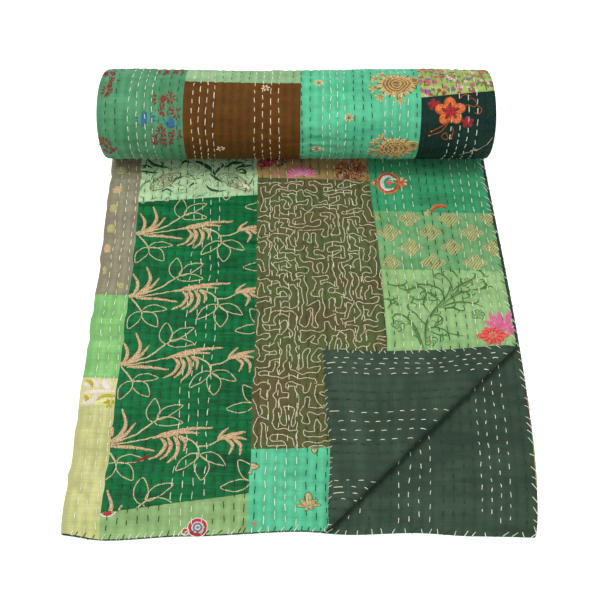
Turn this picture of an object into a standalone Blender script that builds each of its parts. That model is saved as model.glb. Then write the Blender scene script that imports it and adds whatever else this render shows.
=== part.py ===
"""A patchwork kantha quilt: folded in half lengthwise, laid flat, rolled up from its far end,
with the near right corner of its upper layer turned back over the quilt.

Metres, +Z up, +Y from the loose end towards the roll. The quilt lies on Z = 0.
"""

import math

import bmesh
import bpy
from mathutils import Vector

# The quilt, folded in half lengthwise
ROLL_Y = 0.699  # from the front edge to the line where the roll lies on the surface
LEFT_EDGE = -0.3178
RIGHT_EDGE_FRONT = 0.3145
RIGHT_EDGE_BACK = 0.3150
RIGHT_EDGE_BOW = 0.0163
BOW_LENGTH = 0.66
UPPER_INSET = 0.006  # the upper layer stops this far short of the lower one
CENTRE_X = 0.0014  # the middle of the whole quilt's box, from the front edge's middle
CENTRE_Y = 0.3855

# The two cloths of each layer
CLOTH = 0.0013
GAP = 0.0003
HALF_QUILT = CLOTH + GAP / 2  # from the join of the two cloths to a surface
LAYER_GAP = 0.0016  # between the lower and the upper layer
FOLD_RADIUS = 0.0034  # of the soft fold on the left
PRESSED_FOLD_RADIUS = 0.00225  # of that fold under the roll
LOWER_MIDDLE = HALF_QUILT
UPPER_MIDDLE = LOWER_MIDDLE + 2 * HALF_QUILT + LAYER_GAP
FOLD_REACH = 0.05  # how far the fold's roundness runs into the upper layer

# The quilting: soft ribs between the rows of stitches
RIBS = 20
FACE_PUFF = 0.0008
BACKING_PUFF = 0.0005

# The turned-back corner, folded along the line from the front edge to the right edge
CREASE_FRONT = Vector((0.0294, 0.0080))
CREASE_SIDE = Vector((0.3283, 0.3073))
CREASE_RADIUS = 0.0065
CORNER_LIFT = 0.0052  # the turned-back corner's middle above the upper layer's, where it lies flat
CORNER_SETTLES = 0.075  # how far from the crease it comes to lie flat
CORNER_EDGE_BOW = 0.0028
CORNER_REACH = 0.0088  # how far the corner itself stands out of the side edge
CORNER_REACH_LENGTH = 0.08
CORNER_SIDE_SAG = 0.005  # how far the side edge then draws in, up to the crease

# The roll, wound from its outer end at the bottom, up the back and over the top
ROLL_RADIUS = 0.0817
ROLL_LEFT = -0.3197
ROLL_RIGHT = 0.3078
TURNS = 4.0
PITCH = 0.0145  # of the double layer, at the top
BOTTOM_PITCH = 0.0095  # where the quilt's weight presses the turns together
SINK = 0.0008  # how much of the roll is pressed flat underneath
ROLL_WAVE = 0.0018
END_SLANT = 0.0064
END_SLANT_TURN = 1.05  # of the roll, in radians, where its ends draw in most
RIDGE = 0.0020  # each turn's edge stands out of the roll's end
VALLEY = 0.0045  # and the gap between two turns lies this deep

# How finely the curved forms are divided
LOWER_PLAIN_COLUMNS = 4
FOLD_STEPS = 6
ROWS = 9
CREASE_STEPS = 6
ROLL_STEPS = 32  # in a turn
SAME = 1e-6  # closer than this, a point lies on the border of two parts

# The front edge's waver: how far along X, and how far the edge lies behind the front line
FRONT_EDGE = (
    # across, back
    (-0.325, 0.001),
    (-0.262, -0.007),
    (-0.150, -0.001),
    (0.000, 0.0055),
    (0.067, 0.001),
    (0.150, 0.0037),
    (0.236, -0.001),
    (0.340, -0.003),
)

# Soft swells that keep the upper layer from lying quite flat
SWELLS = (
    # across, along, half width, half length, height
    (-0.225, 0.400, 0.050, 0.110, 0.0016),
    (-0.110, 0.150, 0.080, 0.050, 0.0014),
    (0.030, 0.480, 0.060, 0.120, 0.0012),
    (0.230, 0.480, 0.070, 0.060, 0.0018),
    (-0.290, 0.180, 0.040, 0.070, 0.0012),
)


def clear_scene():
    for item in list(bpy.data.objects):
        bpy.data.objects.remove(item, do_unlink=True)


def make_material(name, colour, roughness):
    material = bpy.data.materials.new(name)
    material.use_nodes = True
    shader = material.node_tree.nodes["Principled BSDF"]
    shader.inputs["Base Color"].default_value = (*colour, 1)
    shader.inputs["Roughness"].default_value = roughness
    shader.inputs["Metallic"].default_value = 0
    return material


def blend(low, high, share):
    return low + (high - low) * share


def ease(share):
    share = min(max(share, 0), 1)
    return share * share * (3 - 2 * share)


def left_edge(y):
    return LEFT_EDGE + 0.0012 * math.sin(math.tau * (y + 0.32) / 0.6)


def right_edge(y):
    share = min(max(y / BOW_LENGTH, 0), 1)
    bow = RIGHT_EDGE_BOW * math.sin(math.pi * share**0.62)
    return blend(RIGHT_EDGE_FRONT, RIGHT_EDGE_BACK, share) + bow


def upper_right_edge(y):
    """The same edge on the upper layer, whose turned-back part stands out and then draws in."""
    reach = CORNER_REACH * (1 - ease(y / CORNER_REACH_LENGTH))
    sag = CORNER_SIDE_SAG * math.sin(math.pi * min(max(y / CREASE_SIDE.y, 0), 1))
    return right_edge(y) - UPPER_INSET + reach - sag


def front_edge(x):
    for (x0, y0), (x1, y1) in zip(FRONT_EDGE, FRONT_EDGE[1:]):
        if x <= x1:
            return blend(y0, y1, ease((x - x0) / (x1 - x0)))
    return FRONT_EDGE[-1][1]


def upper_front_edge(x):
    """The same edge on the upper layer, whose turned-back part bows in a little."""
    share = (x - CREASE_FRONT.x) / (CREASE_SIDE.x - CREASE_FRONT.x)
    bow = CORNER_EDGE_BOW * math.sin(math.pi * share) if 0 < share < 1 else 0
    return front_edge(x) + bow


def looseness(y):
    """One on the loose end and none under the roll, which presses the quilt flat."""
    return 1 - ease((y - 0.58) / 0.08)


def fold_radius(y):
    return blend(PRESSED_FOLD_RADIUS, FOLD_RADIUS, looseness(y))


def upper_height(x, y):
    """The middle of the upper layer: round by the fold, and swelling softly."""
    radius = fold_radius(y)
    fold_top = LOWER_MIDDLE + 2 * radius
    away = ease((x - left_edge(y) - radius) / FOLD_REACH)
    height = blend(fold_top, UPPER_MIDDLE, away)
    for across, along, half_width, half_length, swell in SWELLS:
        distance = math.hypot((x - across) / half_width, (y - along) / half_length)
        height += swell * (1 - ease(distance)) * looseness(y) * away
    return height


def puff(share, ribs):
    """The quilting's rib: none on a row of stitches, one half-way between two rows."""
    return 0.5 - 0.5 * math.cos(math.tau * ribs * share)


CREASE_WAY = (CREASE_SIDE - CREASE_FRONT).normalized()
CREASE_OUT = Vector((CREASE_WAY.y, -CREASE_WAY.x))  # square to the crease, towards the corner
CREASE_ARC = math.pi * CREASE_RADIUS


def past_crease(x, y):
    return (Vector((x, y)) - CREASE_FRONT).dot(CREASE_OUT)


def place_upper(x, y, height):
    """A point of the upper layer, height above its middle, before or past the crease."""
    past = past_crease(x, y)
    if past <= 0:
        return Vector((x, y, upper_height(x, y) + height))
    foot = Vector((x, y)) - past * CREASE_OUT
    if past < CREASE_ARC:
        angle = past / CREASE_RADIUS
        reach = (CREASE_RADIUS - height) * math.sin(angle)
        rise = CREASE_RADIUS - (CREASE_RADIUS - height) * math.cos(angle)
    else:
        reach = CREASE_ARC - past
        rise = blend(2 * CREASE_RADIUS, CORNER_LIFT, ease(-reach / CORNER_SETTLES)) - height
    spot = foot + reach * CREASE_OUT
    return Vector((*spot, upper_height(*spot) + rise))


def place_lower(x, y, height):
    return Vector((x, y, LOWER_MIDDLE - height))


def place_fold(y, angle, height):
    """A point of the left fold: angle 0 at the lower layer, pi at the upper one."""
    radius = fold_radius(y)
    x = left_edge(y) + radius - (radius + height) * math.sin(angle)
    return Vector((x, y, LOWER_MIDDLE + radius - (radius + height) * math.cos(angle)))


class FlatCloth:
    """The folded quilt's loose end laid out flat, as one mesh of triangles.

    Its flat mesh has X across and Y along. The upper layer keeps its real X. The fold and then
    the lower layer follow to the left, as far as the cloth really runs.
    """

    LOWER, FOLD, UPPER = 0, 1, 2

    def __init__(self):
        self.mesh = bmesh.new()
        self.columns = self.list_columns()
        self.fill()
        self.cut_along_crease()
        bmesh.ops.triangulate(self.mesh, faces=self.mesh.faces[:])
        self.mesh.verts.ensure_lookup_table()

    def list_columns(self):
        ribbed = [(self.LOWER, 0.5 * i / RIBS) for i in range(RIBS)]
        plain = [
            (self.LOWER, 0.5 + 0.5 * i / LOWER_PLAIN_COLUMNS) for i in range(LOWER_PLAIN_COLUMNS)
        ]
        fold = [(self.FOLD, i / FOLD_STEPS) for i in range(FOLD_STEPS)]
        upper = [(self.UPPER, 0.5 * i / RIBS) for i in range(2 * RIBS + 1)]
        return ribbed + plain + fold + upper

    def flat_point(self, part, share, y):
        """Where a column crosses a row, laid flat: the upper layer keeps its real X."""
        radius = fold_radius(y)
        start = left_edge(y) + radius
        if part == self.UPPER:
            return blend(start, upper_right_edge(y), share)
        if part == self.FOLD:
            return start - math.pi * radius * (1 - share)
        return start - math.pi * radius - (1 - share) * (right_edge(y) - start)

    def fill(self):
        end = ROLL_Y - GAP
        points = []
        for part, share in self.columns:
            line = []
            for row in range(ROWS + 1):
                along = row / ROWS
                x = self.flat_point(part, share, along * end)
                real_x = self.real_x(x, along * end)
                edge = upper_front_edge if part == self.UPPER else front_edge
                y = blend(edge(real_x), end, along)
                line.append(self.mesh.verts.new((self.flat_point(part, share, y), y, 0)))
            points.append(line)
        for near, far in zip(points, points[1:]):
            for i in range(ROWS):
                self.mesh.faces.new((near[i], far[i], far[i + 1], near[i + 1]))

    def cut_along_crease(self):
        """Cuts beside and across the crease, so that it bends along straight lines."""
        bend = [CREASE_ARC * i / CREASE_STEPS for i in range(CREASE_STEPS + 1)]
        for past in bend + [CREASE_ARC + 0.035, CREASE_ARC + CORNER_SETTLES]:
            point = CREASE_FRONT + past * CREASE_OUT
            upper = [f for f in self.mesh.faces if self.is_upper(f)]
            edges = {e for f in upper for e in f.edges}
            verts = {v for f in upper for v in f.verts}
            bmesh.ops.bisect_plane(
                self.mesh,
                geom=[*verts, *edges, *upper],
                dist=1e-5,
                plane_co=(point.x, point.y, 0),
                plane_no=(CREASE_OUT.x, CREASE_OUT.y, 0),
            )

    def is_upper(self, face):
        return all(self.part(v.co.x, v.co.y) == self.UPPER for v in face.verts)

    def fold_start(self, y):
        return left_edge(y) + fold_radius(y)

    def part(self, x, y):
        start = self.fold_start(y)
        if x >= start - SAME:
            return self.UPPER
        if x > start - math.pi * fold_radius(y) + SAME:
            return self.FOLD
        return self.LOWER

    def real_x(self, x, y):
        """The X of a flat point once the quilt is folded, before its corner is turned back."""
        part = self.part(x, y)
        if part == self.UPPER:
            return x
        if part == self.FOLD:
            return left_edge(y)
        return 2 * self.fold_start(y) - math.pi * fold_radius(y) - x

    def place(self, co, side):
        """The real place of a flat point on one surface.

        side 2 is the face cloth's outside and 1 its inside, -1 the backing's inside against the
        face and -2 its outside, inside the fold.
        """
        height = math.copysign(GAP / 2 if abs(side) == 1 else HALF_QUILT, side)
        part = self.part(co.x, co.y)
        start = self.fold_start(co.y)
        if part == self.UPPER:
            share = (co.x - start) / (upper_right_edge(co.y) - start)
            if side == 2:
                height += FACE_PUFF * puff(share, RIBS)
            if side == -2:
                height -= BACKING_PUFF * puff(share, RIBS)
            return place_upper(co.x, co.y, height)
        if part == self.FOLD:
            angle = math.pi - (start - co.x) / fold_radius(co.y)
            return place_fold(co.y, angle, height)
        x = self.real_x(co.x, co.y)
        share = (right_edge(co.y) - x) / (right_edge(co.y) - start)
        if side == -2 and share < 0.5:
            height -= BACKING_PUFF * puff(share, RIBS)
        return place_lower(x, co.y, height)

    def solid(self, outside, inside):
        """A closed mesh between two surfaces of the cloth."""
        made = bmesh.new()
        lift = Vector((-CENTRE_X, -CENTRE_Y, 0))
        outer = [made.verts.new(self.place(v.co, outside) + lift) for v in self.mesh.verts]
        inner = [made.verts.new(self.place(v.co, inside) + lift) for v in self.mesh.verts]
        for face in self.mesh.faces:
            corners = [v.index for v in face.verts]
            made.faces.new([outer[i] for i in corners])
            made.faces.new([inner[i] for i in reversed(corners)])
        for edge in self.mesh.edges:
            if edge.is_boundary:
                a, b = (v.index for v in edge.verts)
                made.faces.new((outer[a], outer[b], inner[b], inner[a]))
        bmesh.ops.recalc_face_normals(made, faces=made.faces[:])
        bmesh.ops.triangulate(made, faces=made.faces[:])
        return made


def roll_end(side, turn):
    """The roll's end, which slants a little: side 0 is the left one, 1 the right one."""
    slant = END_SLANT * math.cos(math.tau * turn - END_SLANT_TURN)
    return ROLL_LEFT + slant if side == 0 else ROLL_RIGHT - slant


def roll_point(share, turn, rib=1.0, out=0.0):
    """A point of the winding: share across it, and turns inwards from its outer end."""
    angle = math.tau * turn
    x = blend(roll_end(0, turn), roll_end(1, turn), share)
    wave = ROLL_WAVE * math.cos(math.tau * (x - 0.17) / 0.45) * (0.5 - 0.5 * math.cos(angle))
    radius = ROLL_RADIUS - PITCH * turn + wave - FACE_PUFF * (1 - rib)
    centre = ROLL_RADIUS - SINK - (PITCH - BOTTOM_PITCH) * turn
    y = ROLL_Y + radius * math.sin(angle) - CENTRE_Y
    z = max(centre - radius * math.cos(angle), 0)
    way = 1 if share > 0.5 else -1
    return Vector((x + way * out - CENTRE_X, y, z))


def build_winding(made):
    """The outermost turn, ribbed by the quilting, and the step where it leaves the surface."""
    rings = []
    for column in range(2 * RIBS + 1):
        share = column / (2 * RIBS)
        rib = puff(share, RIBS)
        rings.append(
            [made.verts.new(roll_point(share, i / ROLL_STEPS, rib)) for i in range(ROLL_STEPS + 1)]
        )
    for near, far in zip(rings, rings[1:]):
        for i in range(ROLL_STEPS):
            made.faces.new((near[i], near[i + 1], far[i + 1], far[i]))
        made.faces.new((near[-1], near[0], far[0], far[-1]))
    return rings[0], rings[-1]


def build_swirl(made, rim, share):
    """One end of the roll, where the edges of the turns stand out as a spiral."""
    steps = round(TURNS * ROLL_STEPS)
    valleys = list(rim)
    for i in range(ROLL_STEPS + 1, steps + 1):
        depth = VALLEY * min(1, (i - ROLL_STEPS) / (ROLL_STEPS / 4))
        valleys.append(made.verts.new(roll_point(share, i / ROLL_STEPS, 0, -depth)))
    ridges = []
    for i in range(steps - ROLL_STEPS + 1):
        outer = roll_point(share, i / ROLL_STEPS, 0)
        inner = roll_point(share, i / ROLL_STEPS + 1, 0)
        middle = (outer + inner) / 2
        middle.x = outer.x + (RIDGE if share > 0.5 else -RIDGE)
        ridges.append(made.verts.new(middle))
    for i in range(steps - ROLL_STEPS):
        made.faces.new((valleys[i], valleys[i + 1], ridges[i + 1], ridges[i]))
        inner = i + ROLL_STEPS
        made.faces.new((ridges[i], ridges[i + 1], valleys[inner + 1], valleys[inner]))
    made.faces.new((valleys[0], ridges[0], valleys[ROLL_STEPS]))
    core = valleys[steps - ROLL_STEPS :] + [ridges[-1]]
    centre = made.verts.new(sum((v.co for v in core), Vector()) / len(core))
    for a, b in zip(core, core[1:] + core[:1]):
        made.faces.new((a, b, centre))


def rolled_end():
    made = bmesh.new()
    left_rim, right_rim = build_winding(made)
    build_swirl(made, left_rim, 0)
    build_swirl(made, right_rim, 1)
    bmesh.ops.recalc_face_normals(made, faces=made.faces[:])
    bmesh.ops.triangulate(made, faces=made.faces[:])
    return made


def add_object(name, made, material):
    mesh = bpy.data.meshes.new(name)
    made.to_mesh(mesh)
    made.free()
    mesh.shade_smooth()
    mesh.set_sharp_from_angle(angle=math.radians(50))
    mesh.materials.append(material)
    thing = bpy.data.objects.new(name, mesh)
    bpy.context.scene.collection.objects.link(thing)
    return thing


def main():
    clear_scene()
    patchwork = make_material("patchwork", (0.08, 0.34, 0.20), 0.75)
    plain_backing = make_material("plain_backing", (0.05, 0.08, 0.055), 0.85)
    flat = FlatCloth()
    add_object("loose_end_face", flat.solid(2, 1), patchwork)
    add_object("loose_end_backing", flat.solid(-1, -2), plain_backing)
    add_object("rolled_end", rolled_end(), patchwork)


main()
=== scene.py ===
"""The looks of a patchwork kantha quilt, folded lengthwise, half rolled up, one corner turned back.

Everything is laid out in quilt sizes: metres across from the fold or from the front edge's
middle, and metres along from the front edge. One set of functions folds and rolls those sizes
into place, the same way for the cloths, the stitches and what is sewn or printed on them.
"""

import math
from collections import namedtuple

import bmesh
import bpy
import numpy as np
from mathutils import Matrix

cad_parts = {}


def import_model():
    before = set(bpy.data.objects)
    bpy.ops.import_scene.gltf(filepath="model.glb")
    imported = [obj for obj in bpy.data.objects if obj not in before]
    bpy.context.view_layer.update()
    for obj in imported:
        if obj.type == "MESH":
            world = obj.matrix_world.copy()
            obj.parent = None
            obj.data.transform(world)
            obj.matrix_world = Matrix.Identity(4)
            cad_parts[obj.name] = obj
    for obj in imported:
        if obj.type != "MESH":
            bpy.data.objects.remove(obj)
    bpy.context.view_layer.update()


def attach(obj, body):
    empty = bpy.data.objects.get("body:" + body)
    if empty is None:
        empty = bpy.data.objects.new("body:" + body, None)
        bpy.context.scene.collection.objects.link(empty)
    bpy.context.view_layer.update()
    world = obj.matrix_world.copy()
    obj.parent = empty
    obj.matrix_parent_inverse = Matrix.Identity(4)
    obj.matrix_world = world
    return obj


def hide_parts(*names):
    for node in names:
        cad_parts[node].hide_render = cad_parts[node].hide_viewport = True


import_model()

# The quilt's sizes, as in the part's source
ROLL_Y = 0.699
LEFT_EDGE = -0.3178
RIGHT_EDGE_FRONT = 0.3145
RIGHT_EDGE_BACK = 0.3150
RIGHT_EDGE_BOW = 0.0163
RIGHT_BOW_SKEW = 0.62
BOW_LENGTH = 0.66
LEFT_EDGE_BOW = 0.0012
LEFT_BOW_START = -0.32
LEFT_BOW_LENGTH = 0.6
UPPER_INSET = 0.006
CENTRE_X = 0.0014
CENTRE_Y = 0.3855
CLOTH = 0.0013
GAP = 0.0003
HALF_QUILT = CLOTH + GAP / 2
LAYER_GAP = 0.0016
FOLD_RADIUS = 0.0034
PRESSED_FOLD_RADIUS = 0.00225
LOWER_MIDDLE = HALF_QUILT
UPPER_MIDDLE = LOWER_MIDDLE + 2 * HALF_QUILT + LAYER_GAP
FOLD_REACH = 0.05
LOOSE_UNTIL = 0.58  # past this, the fold is pressed under the roll
PRESSED_LENGTH = 0.08
CREASE_FRONT = np.array((0.0294, 0.0080))
CREASE_SIDE = np.array((0.3283, 0.3073))
CREASE_RADIUS = 0.0065
CORNER_LIFT = 0.0052
CORNER_SETTLES = 0.075
CORNER_EDGE_BOW = 0.0028
CORNER_REACH = 0.0088
CORNER_REACH_LENGTH = 0.08
CORNER_SIDE_SAG = 0.005
ROLL_RADIUS = 0.0817
ROLL_LEFT = -0.3197
ROLL_RIGHT = 0.3078
TURNS = 4.0
PITCH = 0.0145
BOTTOM_PITCH = 0.0095
SINK = 0.0008
ROLL_WAVE = 0.0018
ROLL_WAVE_START = 0.17
ROLL_WAVE_LENGTH = 0.45
END_SLANT = 0.0064
END_SLANT_TURN = 1.05
SPAN = 0.635  # from the fold to the free edge
ROUND = math.tau * ROLL_RADIUS  # once round the roll
FRONT_TURN = 0.75  # turns from the roll's outer end to its front
SWAY = 0.0030  # how far seams and rows wander sideways
SWAY_LENGTH = 0.12
LOWER_SWAY, ROLL_SWAY = 5, 9  # added to the place along, so that no two layers sway alike

FRONT_EDGE = np.array((
    # across, back
    (-0.325, 0.001),
    (-0.262, -0.007),
    (-0.150, -0.001),
    (0.000, 0.0055),
    (0.067, 0.001),
    (0.150, 0.0037),
    (0.236, -0.001),
    (0.340, -0.003),
))

SWELLS = (
    # across, along, half width, half length, height
    (-0.225, 0.400, 0.050, 0.110, 0.0016),
    (-0.110, 0.150, 0.080, 0.050, 0.0014),
    (0.030, 0.480, 0.060, 0.120, 0.0012),
    (0.230, 0.480, 0.070, 0.060, 0.0018),
    (-0.290, 0.180, 0.040, 0.070, 0.0012),
)

# The stitching
ROWS = 45  # rows of running stitch from the fold to the free edge
CREAM_ROWS = {
    # the upper layer's rows sewn with cream thread
    *range(1, 4),
    *range(10, 14),
    *range(19, 23),
    *range(26, 30),
    *range(33, 37),
    *range(41, 45),
}
FLAP_GROUPS = (
    # first of four cream rows, how far to the right the first and the last of them are shifted
    (22, 0.0000, 0.0000),
    (29, -0.0150, -0.0280),
    (35, -0.0086, -0.0056),
    (41, 0.0170, 0.0000),
)
LOWER_GROUPS = (
    (-1, 0.0000, 0.0000),  # this one starts round the fold
    (9, 0.0000, 0.0000),
    (18, 0.0000, 0.0000),
    (25, 0.0000, 0.0000),
    (32, -0.0040, -0.0040),
    (40, -0.0045, -0.0080),
)
ROLL_GROUPS = (
    (3, 0.0078, 0.0030),
    (10, 0.0090, 0.0005),
    (18, -0.0035, -0.0078),
    (25, 0.0062, -0.0008),
    (32, 0.0070, 0.0000),
    (40, -0.0015, -0.0015),
)
FLAP_CREAM_ROWS, LOWER_CREAM_ROWS, ROLL_CREAM_ROWS = (
    {first + i: near + (far - near) * i / 3 for first, near, far in groups for i in range(4)}
    for groups in (FLAP_GROUPS, LOWER_GROUPS, ROLL_GROUPS)
)
STITCH = 0.0106
BACK_STITCH = 0.0072  # the same thread between two stitches, seen on the backing
STITCH_PITCH = STITCH + BACK_STITCH
THREAD = 0.00060  # the thread's radius
RIB = 0.0011  # how far the cloth stands up between two rows
PUCKER = 0.00085
EDGE_RIPPLE = 0.0019  # how far the stitches draw the folded edge in and out
EDGE_RIPPLE_LENGTH = 0.017
CREASE_END = 0.012  # how long a crease takes to rise at its ends
CREASE_WANDER = 0.003
SEAM_DIP = 0.0005
SEAM_WIDTH = 0.0022
TURNING_WIDTH = 0.0025  # the ridge of the turnings, and how far it is from the seam
TURNING_PLACE = 0.0050
PULL_LENGTH = 0.0095  # along a row, between the puckers that its stitches draw up
RIPPLE_LENGTH = 0.0072

# How finely the cloths are divided
CELLS_PER_ROW = 4
CELL = 0.0036
BACKING_FIRST_ROW = 21
BACKING_NEAR = 0.50  # of the loose end's length


# ---------------------------------------------------------------- folding and rolling


def blend(low, high, share):
    return low + (high - low) * share


def ease(share):
    share = np.clip(share, 0, 1)
    return share * share * (3 - 2 * share)


def lattice(i, j, seed):
    value = np.sin(i * 127.1 + j * 311.7 + seed * 74.7) * 43758.5453
    return value - np.floor(value)


def noise(x, y, seed):
    """Smooth noise from -1 to 1 that changes about once for each step of 1 in x or y."""
    i, j = np.floor(x), np.floor(y)
    u, v = ease(x - i), ease(y - j)
    low = blend(lattice(i, j, seed), lattice(i + 1, j, seed), u)
    high = blend(lattice(i, j + 1, seed), lattice(i + 1, j + 1, seed), u)
    return 2 * blend(low, high, v) - 1


def left_edge(y):
    bow = LEFT_EDGE_BOW * np.sin(math.tau * (y - LEFT_BOW_START) / LEFT_BOW_LENGTH)
    return LEFT_EDGE + bow + EDGE_RIPPLE * noise(y / EDGE_RIPPLE_LENGTH, 0 * y, 30)


def right_edge(y):
    share = np.clip(y / BOW_LENGTH, 0, 1)
    bow = RIGHT_EDGE_BOW * np.sin(math.pi * share**RIGHT_BOW_SKEW)
    return blend(RIGHT_EDGE_FRONT, RIGHT_EDGE_BACK, share) + bow


def upper_right_edge(y):
    reach = CORNER_REACH * (1 - ease(y / CORNER_REACH_LENGTH))
    sag = CORNER_SIDE_SAG * np.sin(math.pi * np.clip(y / CREASE_SIDE[1], 0, 1))
    return right_edge(y) - UPPER_INSET + reach - sag


def front_edge(x):
    step = np.clip(np.searchsorted(FRONT_EDGE[:, 0], x) - 1, 0, len(FRONT_EDGE) - 2)
    (x0, y0), (x1, y1) = FRONT_EDGE[step].T, FRONT_EDGE[step + 1].T
    return blend(y0, y1, ease((x - x0) / (x1 - x0)))


def upper_front_edge(x):
    share = np.clip((x - CREASE_FRONT[0]) / (CREASE_SIDE[0] - CREASE_FRONT[0]), 0, 1)
    return front_edge(x) + CORNER_EDGE_BOW * np.sin(math.pi * share)


def looseness(y):
    """1 where the layers lie loose, 0 where the roll presses them."""
    return 1 - ease((y - LOOSE_UNTIL) / PRESSED_LENGTH)


def fold_radius(y):
    return blend(PRESSED_FOLD_RADIUS, FOLD_RADIUS, looseness(y))


def fold_start(y):
    return left_edge(y) + fold_radius(y)


def upper_height(x, y):
    radius = fold_radius(y)
    away = ease((x - left_edge(y) - radius) / FOLD_REACH)
    height = blend(LOWER_MIDDLE + 2 * radius, UPPER_MIDDLE, away)
    for across, along, half_width, half_length, swell in SWELLS:
        distance = np.hypot((x - across) / half_width, (y - along) / half_length)
        height = height + swell * (1 - ease(distance)) * looseness(y) * away
    return height


CREASE_WAY = (CREASE_SIDE - CREASE_FRONT) / np.linalg.norm(CREASE_SIDE - CREASE_FRONT)
CREASE_OUT = np.array((CREASE_WAY[1], -CREASE_WAY[0]))
CREASE_ARC = math.pi * CREASE_RADIUS


def past_crease(x, y):
    return (x - CREASE_FRONT[0]) * CREASE_OUT[0] + (y - CREASE_FRONT[1]) * CREASE_OUT[1]


def world(x, y, z):
    """Quilt sizes, once folded, as a place in the frame."""
    return np.stack(np.broadcast_arrays(x - CENTRE_X, y - CENTRE_Y, z), axis=-1)


def place_upper(x, y, height):
    """The upper layer, height above its middle, with its corner turned back past the crease."""
    past = np.maximum(past_crease(x, y), 0)
    foot_x, foot_y = x - past * CREASE_OUT[0], y - past * CREASE_OUT[1]
    angle = np.minimum(past / CREASE_RADIUS, math.pi)
    bend_reach = (CREASE_RADIUS - height) * np.sin(angle)
    bend_rise = CREASE_RADIUS - (CREASE_RADIUS - height) * np.cos(angle)
    back = past - CREASE_ARC
    settled = blend(2 * CREASE_RADIUS, CORNER_LIFT, ease(back / CORNER_SETTLES))
    reach = np.where(back > 0, -back, bend_reach)
    rise = np.where(back > 0, settled - height, bend_rise)
    reach = np.where(past > 0, reach, 0)
    rise = np.where(past > 0, rise, height)
    x, y = foot_x + reach * CREASE_OUT[0], foot_y + reach * CREASE_OUT[1]
    return world(x, y, upper_height(x, y) + rise)


def place_lower(x, y, height):
    return world(x, y, LOWER_MIDDLE - height)


def place_fold(y, angle, height):
    radius = fold_radius(y)
    x = left_edge(y) + radius - (radius + height) * np.sin(angle)
    return world(x, y, LOWER_MIDDLE + radius - (radius + height) * np.cos(angle))


def sway(share, y):
    """How far the cloth, its rows and its seams wander sideways."""
    return SWAY * noise(share * 6, y / SWAY_LENGTH, 3) * np.sin(math.pi * np.clip(share, 0, 1))


def upper_x(share, y):
    return blend(fold_start(y), upper_right_edge(y), share) + sway(share, y)


def lower_x(share, y):
    return blend(fold_start(y), right_edge(y), share) + sway(share, y + LOWER_SWAY)


def roll_end(side, turn):
    slant = END_SLANT * np.cos(math.tau * turn - END_SLANT_TURN)
    return ROLL_LEFT + slant if side == 0 else ROLL_RIGHT - slant


def place_roll(x, turn, depth):
    """The winding: turns inwards from its outer end, and depth under its outer surface."""
    angle = math.tau * turn
    wave = ROLL_WAVE * np.cos(math.tau * (x - ROLL_WAVE_START) / ROLL_WAVE_LENGTH)
    wave = wave * (0.5 - 0.5 * np.cos(angle))
    radius = ROLL_RADIUS - PITCH * turn + wave - depth
    centre = ROLL_RADIUS - SINK - (PITCH - BOTTOM_PITCH) * turn
    z = centre - radius * np.cos(angle)
    pressed = np.maximum(depth, 0) * np.maximum(np.cos(angle), 0)
    return world(x, ROLL_Y + radius * np.sin(angle), np.maximum(z, pressed))


def roll_x(share, turn):
    return blend(roll_end(0, turn), roll_end(1, turn), share) + sway(share, turn * ROUND + ROLL_SWAY)


# ---------------------------------------------------------------- the quilted relief

SILK_CREASES = (
    # start, end and lean of each crease drawn across the silk, as shares of a step
    (-0.8, 0.3, 0.5), (0.4, 1.0, -0.6), (-0.6, -0.2, 0.2), (0.2, 0.9, 0.7), (-1.0, 0.1, -0.4),
    (0.5, 1.1, 0.3), (-0.3, 0.4, -0.7), (-0.9, 0.8, 0.4), (0.1, 1.0, -0.2), (-0.7, 0.0, 0.6),
    (0.3, 0.7, -0.5), (-1.0, 0.6, 0.2), (0.0, 1.1, 0.5), (-0.6, 0.2, -0.3), (0.4, 1.0, 0.4),
    (-0.8, 0.5, -0.6),
)
SILK_CREASE_FIRST = 0.085
SILK_CREASE_PITCH = 0.027
SILK_CREASE_STEP = 0.05


def silk_creases():
    for number, (start, end, lean) in enumerate(SILK_CREASES):
        along = SILK_CREASE_FIRST + SILK_CREASE_PITCH * number
        left = -0.20 + SILK_CREASE_STEP * start
        right = -0.13 + SILK_CREASE_STEP * end
        yield left, along, right, along + 0.006 * lean, 0.0042, -0.0010


CREASES = (
    # across, along, across, along, width, height: soft troughs and ridges of the upper face
    (-0.318, 0.306, -0.268, 0.309, 0.0050, -0.0011),
    (-0.318, 0.296, -0.268, 0.300, 0.0060, 0.0008),
    (-0.322, 0.126, -0.268, 0.120, 0.0050, -0.0009),
    (-0.318, 0.080, -0.285, 0.048, 0.0045, -0.0010),
    (-0.316, 0.064, -0.275, 0.030, 0.0060, 0.0008),
    (-0.255, 0.060, -0.075, 0.052, 0.0060, -0.0008),
    (-0.240, 0.020, -0.080, 0.028, 0.0050, -0.0008),
    (0.130, 0.600, 0.325, 0.604, 0.0060, -0.0006),
    (0.125, 0.628, 0.320, 0.622, 0.0060, 0.0006),
    (-0.060, 0.088, 0.030, 0.083, 0.0060, -0.0009),
    *silk_creases(),
)

ROLL_CREASES = (
    # across, up round the roll, across, up, width, height
    (0.012, 0.024, 0.098, 0.018, 0.0040, -0.0013),
    (0.010, 0.012, 0.120, 0.008, 0.0045, 0.0011),
    (0.014, 0.002, 0.072, 0.006, 0.0035, -0.0010),
    (-0.122, 0.086, -0.060, 0.094, 0.0045, -0.0008),
    (-0.285, 0.050, -0.225, 0.044, 0.0050, -0.0008),
    (0.205, -0.006, 0.290, 0.002, 0.0050, -0.0009),
    (0.130, 0.060, 0.185, 0.064, 0.0050, -0.0008),
)

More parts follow.
